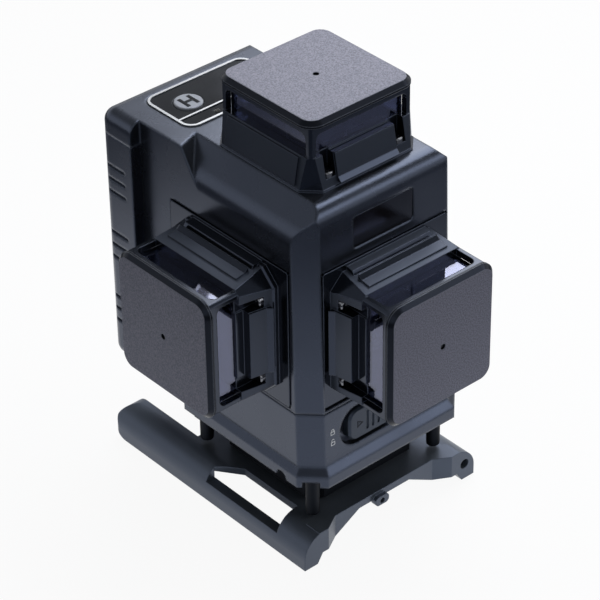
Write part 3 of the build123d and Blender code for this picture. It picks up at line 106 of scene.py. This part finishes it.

# Studio: half the floor's side, the paper and the grey it fades to, the middle of a painted pool of light on
# the floor and where it fades out, and how white the floor looks beside its own shading; the white sweep
# round the horizon that gloss and glass show, the dimmer room, and the heights between which these two blend
FLOOR_HALF = 3.0
PAPER_COLOUR = "#e8ecf4"
PAPER_ROUGHNESS = 0.9
FLOOR_FALLOFF_COLOUR = "#7d828f"
LIT_POOL_MIDDLE = (-0.015, 0.015, 0)
LIT_POOL_NEAR = 0.15
LIT_POOL_FAR = 0.27
WHITE_SHARE = 0.93
SWEEP_LIGHT = 0.9
ROOM_LIGHT = 0.22
SWEEP_LOW = 0.4
SWEEP_HIGH = 0.66


def linear(hex_colour):
    """An sRGB hex colour as linear RGBA."""
    srgb = np.array([int(hex_colour[i : i + 2], 16) for i in (1, 3, 5)]) / 255
    low = srgb / 12.92
    high = ((srgb + 0.055) / 1.055) ** 2.4
    return (*np.where(srgb <= 0.04045, low, high).tolist(), 1.0)


def add(tree, kind, settings, inputs):
    """Adds one shader node: its own settings, and a value or an output socket for each named input."""
    made = tree.nodes.new(kind)
    for name, value in settings.items():
        setattr(made, name, value)
    for name, value in inputs.items():
        if isinstance(value, bpy.types.NodeSocket):
            tree.links.new(value, made.inputs[name])
        else:
            made.inputs[name].default_value = value
    return made


def blank_material(name):
    """A material with only an output node, its tree and that output."""
    material = bpy.data.materials.new(name)
    material.use_nodes = True
    tree = material.node_tree
    tree.nodes.clear()
    return material, tree, tree.nodes.new("ShaderNodeOutputMaterial")


def rounded_highlit_edges(tree, colour, radius_mm, turn_span, share, pale):
    """Rounds the shading at edges to a radius and paints a pale highlight along them. The cosine between the
    rounded and the true normal falls towards an edge, and the painted highlight's share grows from none to
    full across turn_span. Returns the rounded normal and the colour with the painted highlight."""
    rounded = add(tree, "ShaderNodeBevel", {"samples": EDGE_SAMPLES}, {"Radius": radius_mm * MM})
    true_face = add(tree, "ShaderNodeNewGeometry", {}, {})
    turn = add(
        tree,
        "ShaderNodeVectorMath",
        {"operation": "DOT_PRODUCT"},
        {0: rounded.outputs["Normal"], 1: true_face.outputs["Normal"]},
    )
    start, full = turn_span
    highlight_amount = add(
        tree,
        "ShaderNodeMapRange",
        {},
        {"Value": turn.outputs["Value"], "From Min": start, "From Max": full, "To Max": share},
    )
    paler_colour = add(
        tree, "ShaderNodeMix", {"data_type": "RGBA"}, {0: highlight_amount.outputs["Result"], 6: colour, 7: linear(pale)}
    )
    return rounded.outputs["Normal"], paler_colour.outputs[2]


def moulded_plastic(
    name, colour, paler_colour, roughness, grain_mm, grain_depth_mm, gloss=0.5, matt_panel=None, edge_mm=EDGE_MM
):
    """Injection-moulded plastic: a fine pebble grain from the tool, a cool sheen, broad handling smudges
    that shift its sheen and colour, and edges that are rounded and carry a thin painted highlight. With
    matt_panel, a colour and a roughness, gently sloping sides are matted by spark-eroded tool steel and look
    greyer than the rest."""
    material, tree, output = blank_material(name)
    place = add(tree, "ShaderNodeTexCoord", {}, {}).outputs["Object"]
    grain = add(
        tree, "ShaderNodeTexNoise", {}, {"Vector": place, "Scale": 1 / (grain_mm * MM), "Detail": 2.0}
    )
    smudge = add(
        tree, "ShaderNodeTexNoise", {}, {"Vector": place, "Scale": 1 / (SMUDGE_MM * MM), "Detail": 4.0}
    )
    tone = add(tree, "ShaderNodeValToRGB", {}, {"Fac": smudge.outputs["Fac"]})
    for stop, share, shade in zip(tone.color_ramp.elements, SMUDGE_SPAN, (colour, paler_colour)):
        stop.position = share
        stop.color = linear(shade)
    # Edges: rounded shading and a pale painted highlight
    rounded, highlit = rounded_highlit_edges(
        tree, tone.outputs["Color"], edge_mm, EDGE_TURN, EDGE_HIGHLIGHT_SHARE, EDGE_HIGHLIGHT_COLOUR
    )
    sheen = add(
        tree,
        "ShaderNodeMapRange",
        {},
        {
            "Value": smudge.outputs["Fac"],
            "From Min": SHEEN_SPAN[0],
            "From Max": SHEEN_SPAN[1],
            "To Min": roughness - SHEEN_SWING,
            "To Max": roughness + SHEEN_SWING,
        },
    )
    bump = add(
        tree,
        "ShaderNodeBump",
        {},
        {
            "Height": grain.outputs["Fac"],
            "Strength": GRAIN_STRENGTH,
            "Distance": grain_depth_mm * MM,
            "Normal": rounded,
        },
    )
    surface = add(
        tree,
        "ShaderNodeBsdfPrincipled",
        {},
        {
            "Base Color": highlit,
            "Roughness": sheen.outputs["Result"],
            "IOR": PLASTIC_IOR,
            "Specular IOR Level": gloss,
            "Specular Tint": linear(COOL_SHEEN),
            "Normal": bump.outputs["Normal"],
        },
    )
    if matt_panel:
        facing = add(tree, "ShaderNodeTexCoord", {}, {}).outputs["Normal"]
        straight = add(tree, "ShaderNodeVectorMath", {"operation": "ABSOLUTE"}, {0: facing})
        along = add(tree, "ShaderNodeSeparateXYZ", {}, {"Vector": straight.outputs["Vector"]})
        most = add(
            tree, "ShaderNodeMath", {"operation": "MAXIMUM"}, {0: along.outputs["X"], 1: along.outputs["Y"]}
        )
        most = add(
            tree, "ShaderNodeMath", {"operation": "MAXIMUM"}, {0: most.outputs[0], 1: along.outputs["Z"]}
        )
        sloping = add(
            tree,
            "ShaderNodeMath",
            {"operation": "COMPARE"},
            {0: most.outputs[0], 1: PANEL_SLOPE, 2: PANEL_SPREAD},
        )
        panel_colour, panel_roughness = matt_panel
        matted = add(
            tree,
            "ShaderNodeMix",
            {"data_type": "RGBA"},
            {0: sloping.outputs[0], 6: highlit, 7: linear(panel_colour)},
        )
        dulled = add(
            tree,
            "ShaderNodeMix",
            {"data_type": "FLOAT"},
            {0: sloping.outputs[0], 2: sheen.outputs["Result"], 3: panel_roughness},
        )
        tree.links.new(matted.outputs[2], surface.inputs["Base Color"])
        tree.links.new(dulled.outputs[0], surface.inputs["Roughness"])
    tree.links.new(surface.outputs["BSDF"], output.inputs["Surface"])
    return material


def frosted_face(name, rim, dark_speck, pale_speck, roughness, speck_mm):
    """Moulded cap: its outer face is frosted by spark-eroded tool steel, so it scatters light in fine pale
    and dark specks. Its rim is left smooth and nearly black, with a thin painted highlight along its edges."""
    material, tree, output = blank_material(name)
    place = add(tree, "ShaderNodeTexCoord", {}, {}).outputs["Object"]
    axes = add(tree, "ShaderNodeSeparateXYZ", {}, {"Vector": place})
    planes = (
        ("Z", "GREATER_THAN", CAP_TOP_MM),
        ("Y", "LESS_THAN", CAP_FRONT_MM),
        ("X", "LESS_THAN", CAP_SIDE_MM),
    )
    face = 0.0
    for axis, side, plane_mm in planes:
        past = add(tree, "ShaderNodeMath", {"operation": side}, {0: axes.outputs[axis], 1: plane_mm * MM})
        face = add(tree, "ShaderNodeMath", {"operation": "MAXIMUM"}, {0: past.outputs[0], 1: face}).outputs[0]
    speck = add(
        tree, "ShaderNodeTexNoise", {}, {"Vector": place, "Scale": 1 / (speck_mm * MM), "Detail": 3.0}
    )
    tone = add(tree, "ShaderNodeValToRGB", {}, {"Fac": speck.outputs["Fac"]})
    for stop, share, shade in zip(tone.color_ramp.elements, SPECK_SPAN, (dark_speck, pale_speck)):
        stop.position = share
        stop.color = linear(shade)
    colour = add(
        tree,
        "ShaderNodeMix",
        {"data_type": "RGBA"},
        {0: face, 6: linear(rim), 7: tone.outputs["Color"]},
    )
    sheen = add(
        tree,
        "ShaderNodeMapRange",
        {},
        {"Value": face, "To Min": RIM_ROUGHNESS, "To Max": roughness},
    )
    # Rim edges: rounded shading and a thin painted highlight
    rounded, highlit = rounded_highlit_edges(tree, colour.outputs[2], EDGE_MM, RIM_TURN, RIM_HIGHLIGHT_SHARE, RIM_HIGHLIGHT_COLOUR)
    bump = add(
        tree,
        "ShaderNodeBump",
        {},
        {
            "Height": speck.outputs["Fac"],
            "Strength": SPECK_STRENGTH,
            "Distance": SPECK_DEPTH_MM * MM,
            "Normal": rounded,
        },
    )
    surface = add(
        tree,
        "ShaderNodeBsdfPrincipled",
        {},
        {
            "Base Color": highlit,
            "Roughness": sheen.outputs["Result"],
            "IOR": PLASTIC_IOR,
            "Specular IOR Level": CAP_GLOSS,
            "Specular Tint": linear(COOL_SHEEN),
            "Normal": bump.outputs["Normal"],
        },
    )
    tree.links.new(surface.outputs["BSDF"], output.inputs["Surface"])
    return material


def turned_metal(name, colour, roughness, line_mm):
    """Turned or stamped metal: fine tool lines that spread the highlight, metallic all over."""
    material, tree, output = blank_material(name)
    place = add(tree, "ShaderNodeTexCoord", {}, {}).outputs["Object"]
    lines = add(
        tree, "ShaderNodeTexNoise", {}, {"Vector": place, "Scale": 1 / (line_mm * MM), "Detail": 3.0}
    )
    tone = add(tree, "ShaderNodeValToRGB", {}, {"Fac": lines.outputs["Fac"]})
    bright = linear(colour)
    tone.color_ramp.elements[0].color = (*[LINE_SHADE * c for c in bright[:3]], 1.0)
    tone.color_ramp.elements[1].color = bright
    bump = add(
        tree,
        "ShaderNodeBump",
        {},
        {"Height": lines.outputs["Fac"], "Strength": LINE_STRENGTH, "Distance": LINE_DEPTH_MM * MM},
    )
    surface = add(
        tree,
        "ShaderNodeBsdfPrincipled",
        {},
        {
            "Base Color": tone.outputs["Color"],
            "Metallic": 1.0,
            "Roughness": roughness,
            "Normal": bump.outputs["Normal"],
        },
    )
    tree.links.new(surface.outputs["BSDF"], output.inputs["Surface"])
    return material


def clear_glass(name, tint, roughness, index=1.52, sheen="#ffffff"):
    """Polished glass with a little dust; a coating of a higher index mirrors its surroundings in its own
    tint."""
    material, tree, output = blank_material(name)
    place = add(tree, "ShaderNodeTexCoord", {}, {}).outputs["Object"]
    dust = add(tree, "ShaderNodeTexNoise", {}, {"Vector": place, "Scale": 1 / (DUST_MM * MM), "Detail": 5.0})
    haze = add(
        tree,
        "ShaderNodeMapRange",
        {},
        {"Value": dust.outputs["Fac"], "To Min": roughness * 0.5, "To Max": roughness * 1.5},
    )
    surface = add(
        tree,
        "ShaderNodeBsdfPrincipled",
        {},
        {
            "Base Color": linear(tint),
            "Roughness": haze.outputs["Result"],
            "IOR": index,
            "Specular Tint": linear(sheen),
            "Transmission Weight": 1.0,
        },
    )
    tree.links.new(surface.outputs["BSDF"], output.inputs["Surface"])
    return material


finishes = {
    # Body shell: black ABS with a fine grain, generous edges and a strong sheen, so that it shows the floor
    # and the heads softly
    "housing_plastic": moulded_plastic(
        "slate_moulded_abs", "#1b1d20", "#222428", 0.27, 0.8, 0.03, gloss=0.95, edge_mm=1.4
    ),
    # Collars: black ABS polished like a mirror, with matt grey sloping panels
    "collar_plastic": moulded_plastic(
        "polished_black_abs", "#0e1013", "#14171b", 0.16, 0.6, 0.02, gloss=0.7, matt_panel=("#282c32", 0.4)
    ),
    # Caps: black ABS with a frosted grey face and a smooth rim
    "cap_plastic": frosted_face("frosted_cap_abs", "#14161a", "#676874", "#8c8c9a", 0.45, 0.5),
    # Panes: coated glass that mirrors the white floor in lavender
    "window_glass": clear_glass("coated_window_glass", "#7f86a4", 0.03, 2.1, "#d6dcff"),
    # Cone prisms: polished glass with a dark tint, as painted shade inside the heads behind the panes
    "prism_glass": clear_glass("prism_glass_with_painted_shade", "#5a5f68", 0.02),
    # Base: dark glass-filled nylon, satin from a fine-grained tool, that shows the floor along its edges
    "base_plastic": moulded_plastic(
        "black_satin_nylon", "#434950", "#4f565e", 0.34, 0.7, 0.03, gloss=0.9
    ),
    # Block and feet: black ABS left matt by the tool, its colour darkened to near black as painted shade
    # under the body
    "block_plastic": moulded_plastic("black_abs_with_painted_shade", "#070808", "#0b0c0c", 0.5, 0.7, 0.04, gloss=0.2),
    # Keypad: a glossy black acrylic sheet with a silver foil line round it
    "keypad_gloss": moulded_plastic(
        "gloss_black_acrylic", "#0b0c0d", "#101214", 0.12, 3.0, 0.004, gloss=0.25
    ),
    "silver_trim": turned_metal("silver_foil", "#b4b7bc", 0.32, 0.4),
    # Indicators: clear cast resin with a green tinge, dull while unlit
    "indicator_lens": clear_glass("indicator_lens_resin", "#c8d8c8", 0.1),
    # Keys: pale grey ABS from a fine-grained tool, with a soft highlight
    "key_plastic": moulded_plastic("grey_key_abs", "#8d9199", "#979ba3", 0.35, 0.5, 0.02),
    # Front plate: warm black acrylic, polished flat, that mirrors the head under it
    "plate_gloss": moulded_plastic("gloss_black_plate", "#100d0c", "#161211", 0.15, 3.0, 0.004),
    # Slider and lever: slate ABS in the shell's grain, a little paler than the recess round the slider
    "slider_plastic": moulded_plastic("slate_slider_abs", "#30373f", "#39414a", 0.36, 0.6, 0.03),
    # Battery: black ABS with a duller grain than the shell's
    "battery_plastic": moulded_plastic("black_battery_abs", "#1d2126", "#252a2f", 0.42, 0.8, 0.04),
    # Boards: green glass-fibre laminate under a satin lacquer
    "board": moulded_plastic("green_board_laminate", "#1d4a2c", "#245a36", 0.4, 0.5, 0.02),
    # Metals: plated screws and magnets glint, turned steel, alloy and brass are duller
    "screw_steel": turned_metal("black_nickel_steel", "#7c7e84", 0.2, 0.3),
    "turned_steel": turned_metal("turned_steel", "#8f9194", 0.35, 0.3),
    "magnet": turned_metal("nickel_plated_magnet", "#b8bac0", 0.2, 0.5),
    "alloy": turned_metal("anodised_aluminium", "#a6a9ad", 0.42, 0.4),
    "brass": turned_metal("machined_brass", "#c39a55", 0.32, 0.4),
    # Thrust washer: natural nylon, milky and dull
    "nylon": moulded_plastic("natural_nylon", "#d8d6cd", "#e0ded6", 0.5, 0.6, 0.02),
    # Pads: black moulded rubber, too matt for a highlight
    "pad_rubber": moulded_plastic("black_rubber", "#1a1a1b", "#212122", 0.7, 0.5, 0.04),
}
slot_of = {part["node"]: part["material_slot"] for part in frame["record"]["subparts"]}
for node_name, node_object in frame["nodes"].items():
    node_object.data.materials.clear()
    node_object.data.materials.append(finishes[slot_of[node_name]])


def raised_marks(name, body, slot_name, lines, width_mm, place_mm, across, upward):
    """Flat raised lines on a face. Each line is a path in the plane of across and upward: every point moves
    to both sides along its mitred normal by half the width, and the two edges run from just under the face to
    just over it, which gives a closed bar of rectangular section."""
    across = np.array(across, float) / np.linalg.norm(across)
    upward = np.array(upward, float) / np.linalg.norm(upward)
    outward = np.cross(across, upward)
    corners, faces, start = [], [], 0
    for path, closed in lines:
        path = np.array(path, float)
        count = len(path)
        step = np.roll(path, -1, axis=0) - path
        step /= np.linalg.norm(step, axis=1, keepdims=True)
        after = np.stack([-step[:, 1], step[:, 0]], axis=1)
        before = np.roll(after, 1, axis=0)
        if not closed:
            after[-1] = before[-1]
            before[0] = after[0]
        mitre = (before + after) / (1 + np.sum(before * after, axis=1, keepdims=True))
        edges = np.stack([path + mitre * width_mm / 2, path - mitre * width_mm / 2], axis=1)
        flat = np.array(place_mm) + edges[..., :1] * across + edges[..., 1:] * upward
        low, high = flat - MARK_SINK_MM * outward, flat + MARK_RISE_MM * outward
        section = np.stack([low[:, 0], high[:, 0], high[:, 1], low[:, 1]], axis=1)
        corners.append(section.reshape(-1, 3) * MM)
        here = np.arange(count if closed else count - 1)[:, None]
        turn = np.arange(4)[None, :]
        there = (here + 1) % count
        bar = [4 * here + turn, 4 * here + (turn + 1) % 4, 4 * there + (turn + 1) % 4, 4 * there + turn]
        faces.append(start + np.stack(bar, axis=-1).reshape(-1, 4))
        if not closed:
            last = 4 * (count - 1)
            faces.append(start + np.array([[3, 2, 1, 0], [last, last + 1, last + 2, last + 3]]))
        start += 4 * count
    mesh = bpy.data.meshes.new(name)
    mesh.from_pydata(np.concatenate(corners).tolist(), [], np.concatenate(faces).tolist())
    mesh.materials.append(finishes[slot_name])
    piece = bpy.data.objects.new(name, mesh)
    bpy.context.scene.collection.objects.link(piece)
    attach(piece, body)


def arc(radius, first, last, count):
    """Points of a circular arc round the origin, between two angles in degrees."""
    angle = np.radians(np.linspace(first, last, count))
    return np.stack([radius * np.cos(angle), radius * np.sin(angle)], axis=1)


# Marks on the keys: an open ring with a stroke for power, and a line between two bars for the line mode
EAST, NORTH, SKY = (1, 0, 0), (0, 1, 0), (0, 0, 1)
power_lines = [(arc(2.2, 125, 415, 33), False), ([(0, 0.6), (0, 2.9)], False)]
raised_marks("power_mark", "power_key", "keypad_gloss", power_lines, 0.6, POWER_KEY_MM, EAST, NORTH)
bar_lines = [([(-1.3, 0), (1.3, 0)], False)]
bar_lines += [([(x, -3.1), (x, 3.1)], False) for x in (-2.0, 2.0)]
raised_marks("line_mark", "mode_key", "keypad_gloss", bar_lines, 1.4, MODE_KEY_MM, EAST, NORTH)

# Marks beside the switch: a closed and an open padlock, and an arrow on the slider
lock_box = ([(-0.8, -1.2), (0.8, -1.2), (0.8, 0), (-0.8, 0)], True)
shackle = np.concatenate([[(0.5, 0.15)], arc(0.5, 0, 180, 13) + (0, 0.5), [(-0.5, 0.15)]])
open_shackle = shackle[1:] + (0.0, 0.2)
open_shackle[-1] = (-0.5, 0.15)
UP_FRONT = (0, FRONT_DRAFT, 1)
locks = (
    ("closed_lock_mark", shackle, CLOSED_LOCK_Z_MM),
    ("open_lock_mark", open_shackle, OPEN_LOCK_Z_MM),
)
for lock_name, lock_path, lock_z in locks:
    lock_y = FRONT_FOOT_MM + (lock_z - FRONT_FOOT_Z_MM) * FRONT_DRAFT
    lock_lines = [lock_box, (lock_path, False)]
    lock_place = (LOCKS_X_MM, lock_y, lock_z)
    raised_marks(lock_name, "laser_body", "silver_trim", lock_lines, 0.3, lock_place, EAST, UP_FRONT)
arrow = [([(-1.1, -1.1), (1.1, 0), (-1.1, 1.1)], True)]
raised_marks("slide_arrow", "lock_slider", "keypad_gloss", arrow, 0.4, ARROW_MM, EAST, SKY)

# Floor: white paper with a painted pool of light round the object. To the camera the floor glows white, in
# gloss and through glass the pool does, and it keeps the object's shadow. Away from the object the pool fades
# to grey for all but the camera.
floor_mesh = bpy.data.meshes.new("floor")
floor_corners = [(x * FLOOR_HALF, y * FLOOR_HALF, 0) for x, y in ((-1, -1), (1, -1), (1, 1), (-1, 1))]
floor_mesh.from_pydata(floor_corners, [], [(0, 1, 2, 3)])
floor = bpy.data.objects.new("floor", floor_mesh)
bpy.context.scene.collection.objects.link(floor)
floor_material, floor_tree, floor_output = blank_material("white_paper_with_painted_light_pool")
floor_place = add(floor_tree, "ShaderNodeTexCoord", {}, {}).outputs["Object"]
# Painted pool of light: paler near the object, fading to grey with distance
reach = add(
    floor_tree, "ShaderNodeVectorMath", {"operation": "DISTANCE"}, {0: floor_place, 1: LIT_POOL_MIDDLE}
)
lit_pool = add(
    floor_tree,
    "ShaderNodeMapRange",
    {"interpolation_type": "SMOOTHSTEP"},
    {
        "Value": reach.outputs["Value"],
        "From Min": LIT_POOL_NEAR,
        "From Max": LIT_POOL_FAR,
        "To Min": 1.0,
        "To Max": 0.0,
    },
)
ray = add(floor_tree, "ShaderNodeLightPath", {}, {})
lit_pool_share = add(
    floor_tree,
    "ShaderNodeMath",
    {"operation": "MAXIMUM"},
    {0: lit_pool.outputs["Result"], 1: ray.outputs["Is Camera Ray"]},
)
paper_colour = add(
    floor_tree,
    "ShaderNodeMix",
    {"data_type": "RGBA"},
    {0: lit_pool_share.outputs[0], 6: linear(FLOOR_FALLOFF_COLOUR), 7: linear(PAPER_COLOUR)},
)
paper = add(
    floor_tree,
    "ShaderNodeBsdfPrincipled",
    {},
    {"Base Color": paper_colour.outputs[2], "Roughness": PAPER_ROUGHNESS},
)
# White glow: all over to the camera, and inside the painted pool of light to gloss and glass
white = add(floor_tree, "ShaderNodeEmission", {}, {"Color": (1, 1, 1, 1), "Strength": 1.0})
mirrored = add(
    floor_tree,
    "ShaderNodeMath",
    {"operation": "MAXIMUM"},
    {0: ray.outputs["Is Glossy Ray"], 1: ray.outputs["Is Transmission Ray"]},
)
glow_in_pool = add(
    floor_tree,
    "ShaderNodeMath",
    {"operation": "MULTIPLY"},
    {0: mirrored.outputs[0], 1: lit_pool.outputs["Result"]},
)
seen = add(
    floor_tree,
    "ShaderNodeMath",
    {"operation": "MAXIMUM"},
    {0: ray.outputs["Is Camera Ray"], 1: glow_in_pool.outputs[0]},
)
share = add(floor_tree, "ShaderNodeMath", {"operation": "MULTIPLY"}, {0: seen.outputs[0], 1: WHITE_SHARE})
floor_mix = add(
    floor_tree,
    "ShaderNodeMixShader",
    {},
    {0: share.outputs[0], 1: paper.outputs["BSDF"], 2: white.outputs["Emission"]},
)
floor_tree.links.new(floor_mix.outputs["Shader"], floor_output.inputs["Surface"])
floor_mesh.materials.append(floor_material)

# Light: a white sweep round a dim room, a soft lamp above on the right, and a pale panel that gloss mirrors
scene = bpy.context.scene
scene.view_settings.view_transform = "Standard"
world = bpy.data.worlds.new("studio")
scene.world = world
world.use_nodes = True
sky_tree = world.node_tree
sky_way = add(sky_tree, "ShaderNodeTexCoord", {}, {}).outputs["Generated"]
sky_height = add(sky_tree, "ShaderNodeSeparateXYZ", {}, {"Vector": sky_way})
sweep = add(
    sky_tree,
    "ShaderNodeMapRange",
    {"interpolation_type": "SMOOTHSTEP"},
    {
        "Value": sky_height.outputs["Z"],
        "From Min": SWEEP_LOW,
        "From Max": SWEEP_HIGH,
        "To Min": SWEEP_LIGHT,
        "To Max": ROOM_LIGHT,
    },
)
sky_ray = add(sky_tree, "ShaderNodeLightPath", {}, {})
sky_mirrored = add(
    sky_tree,
    "ShaderNodeMath",
    {"operation": "MAXIMUM"},
    {0: sky_ray.outputs["Is Glossy Ray"], 1: sky_ray.outputs["Is Transmission Ray"]},
)
sky_shown = add(
    sky_tree,
    "ShaderNodeMix",
    {"data_type": "FLOAT"},
    {0: sky_mirrored.outputs[0], 2: ROOM_LIGHT, 3: sweep.outputs["Result"]},
)
sky_light = add(
    sky_tree,
    "ShaderNodeMath",
    {"operation": "MAXIMUM"},
    {0: sky_shown.outputs[0], 1: sky_ray.outputs["Is Camera Ray"]},
)
sky_tree.links.new(sky_light.outputs[0], sky_tree.nodes["Background"].inputs["Strength"])
sky_tree.nodes["Background"].inputs["Color"].default_value = (1, 1, 1, 1)


def soft_lamp(name, place, aim, width, height, power):
    """A rectangular area lamp at place, turned to face aim."""
    lamp = bpy.data.lights.new(name, "AREA")
    lamp.shape = "RECTANGLE"
    lamp.size = width
    lamp.size_y = height
    lamp.energy = power
    lamp_object = bpy.data.objects.new(name, lamp)
    scene.collection.objects.link(lamp_object)
    lamp_object.location = place
    lamp_object.rotation_euler = (Vector(aim) - Vector(place)).to_track_quat("-Z", "Y").to_euler()


BODY_MIDDLE = (0, 0, 0.09)
soft_lamp("overhead_lamp", (0.24, 0.12, 0.52), BODY_MIDDLE, width=0.44, height=0.44, power=2.6)
soft_lamp("front_panel", (0.66, -0.8, 0.68), BODY_MIDDLE, width=0.9, height=0.34, power=2.0)

# Camera: level axes from the azimuth and the elevation, then rolled about the line of sight
forward = Vector(
    (
        math.sin(CAMERA_AZIMUTH) * math.cos(CAMERA_ELEVATION),
        math.cos(CAMERA_AZIMUTH) * math.cos(CAMERA_ELEVATION),
        -math.sin(CAMERA_ELEVATION),
    )
)
level_right = Vector((math.cos(CAMERA_AZIMUTH), -math.sin(CAMERA_AZIMUTH), 0))
level_up = level_right.cross(forward)
right = level_right * math.cos(CAMERA_ROLL) + level_up * math.sin(CAMERA_ROLL)
up = right.cross(forward)
camera = bpy.data.cameras.new("photo_camera")
camera.lens = CAMERA_LENS
camera.sensor_width = CAMERA_SENSOR
camera_object = bpy.data.objects.new("photo_camera", camera)
scene.collection.objects.link(camera_object)
turn = Matrix((right, up, -forward)).transposed()
camera_object.matrix_world = Matrix.Translation(CAMERA_EYE) @ turn.to_4x4()
scene.camera = camera_object
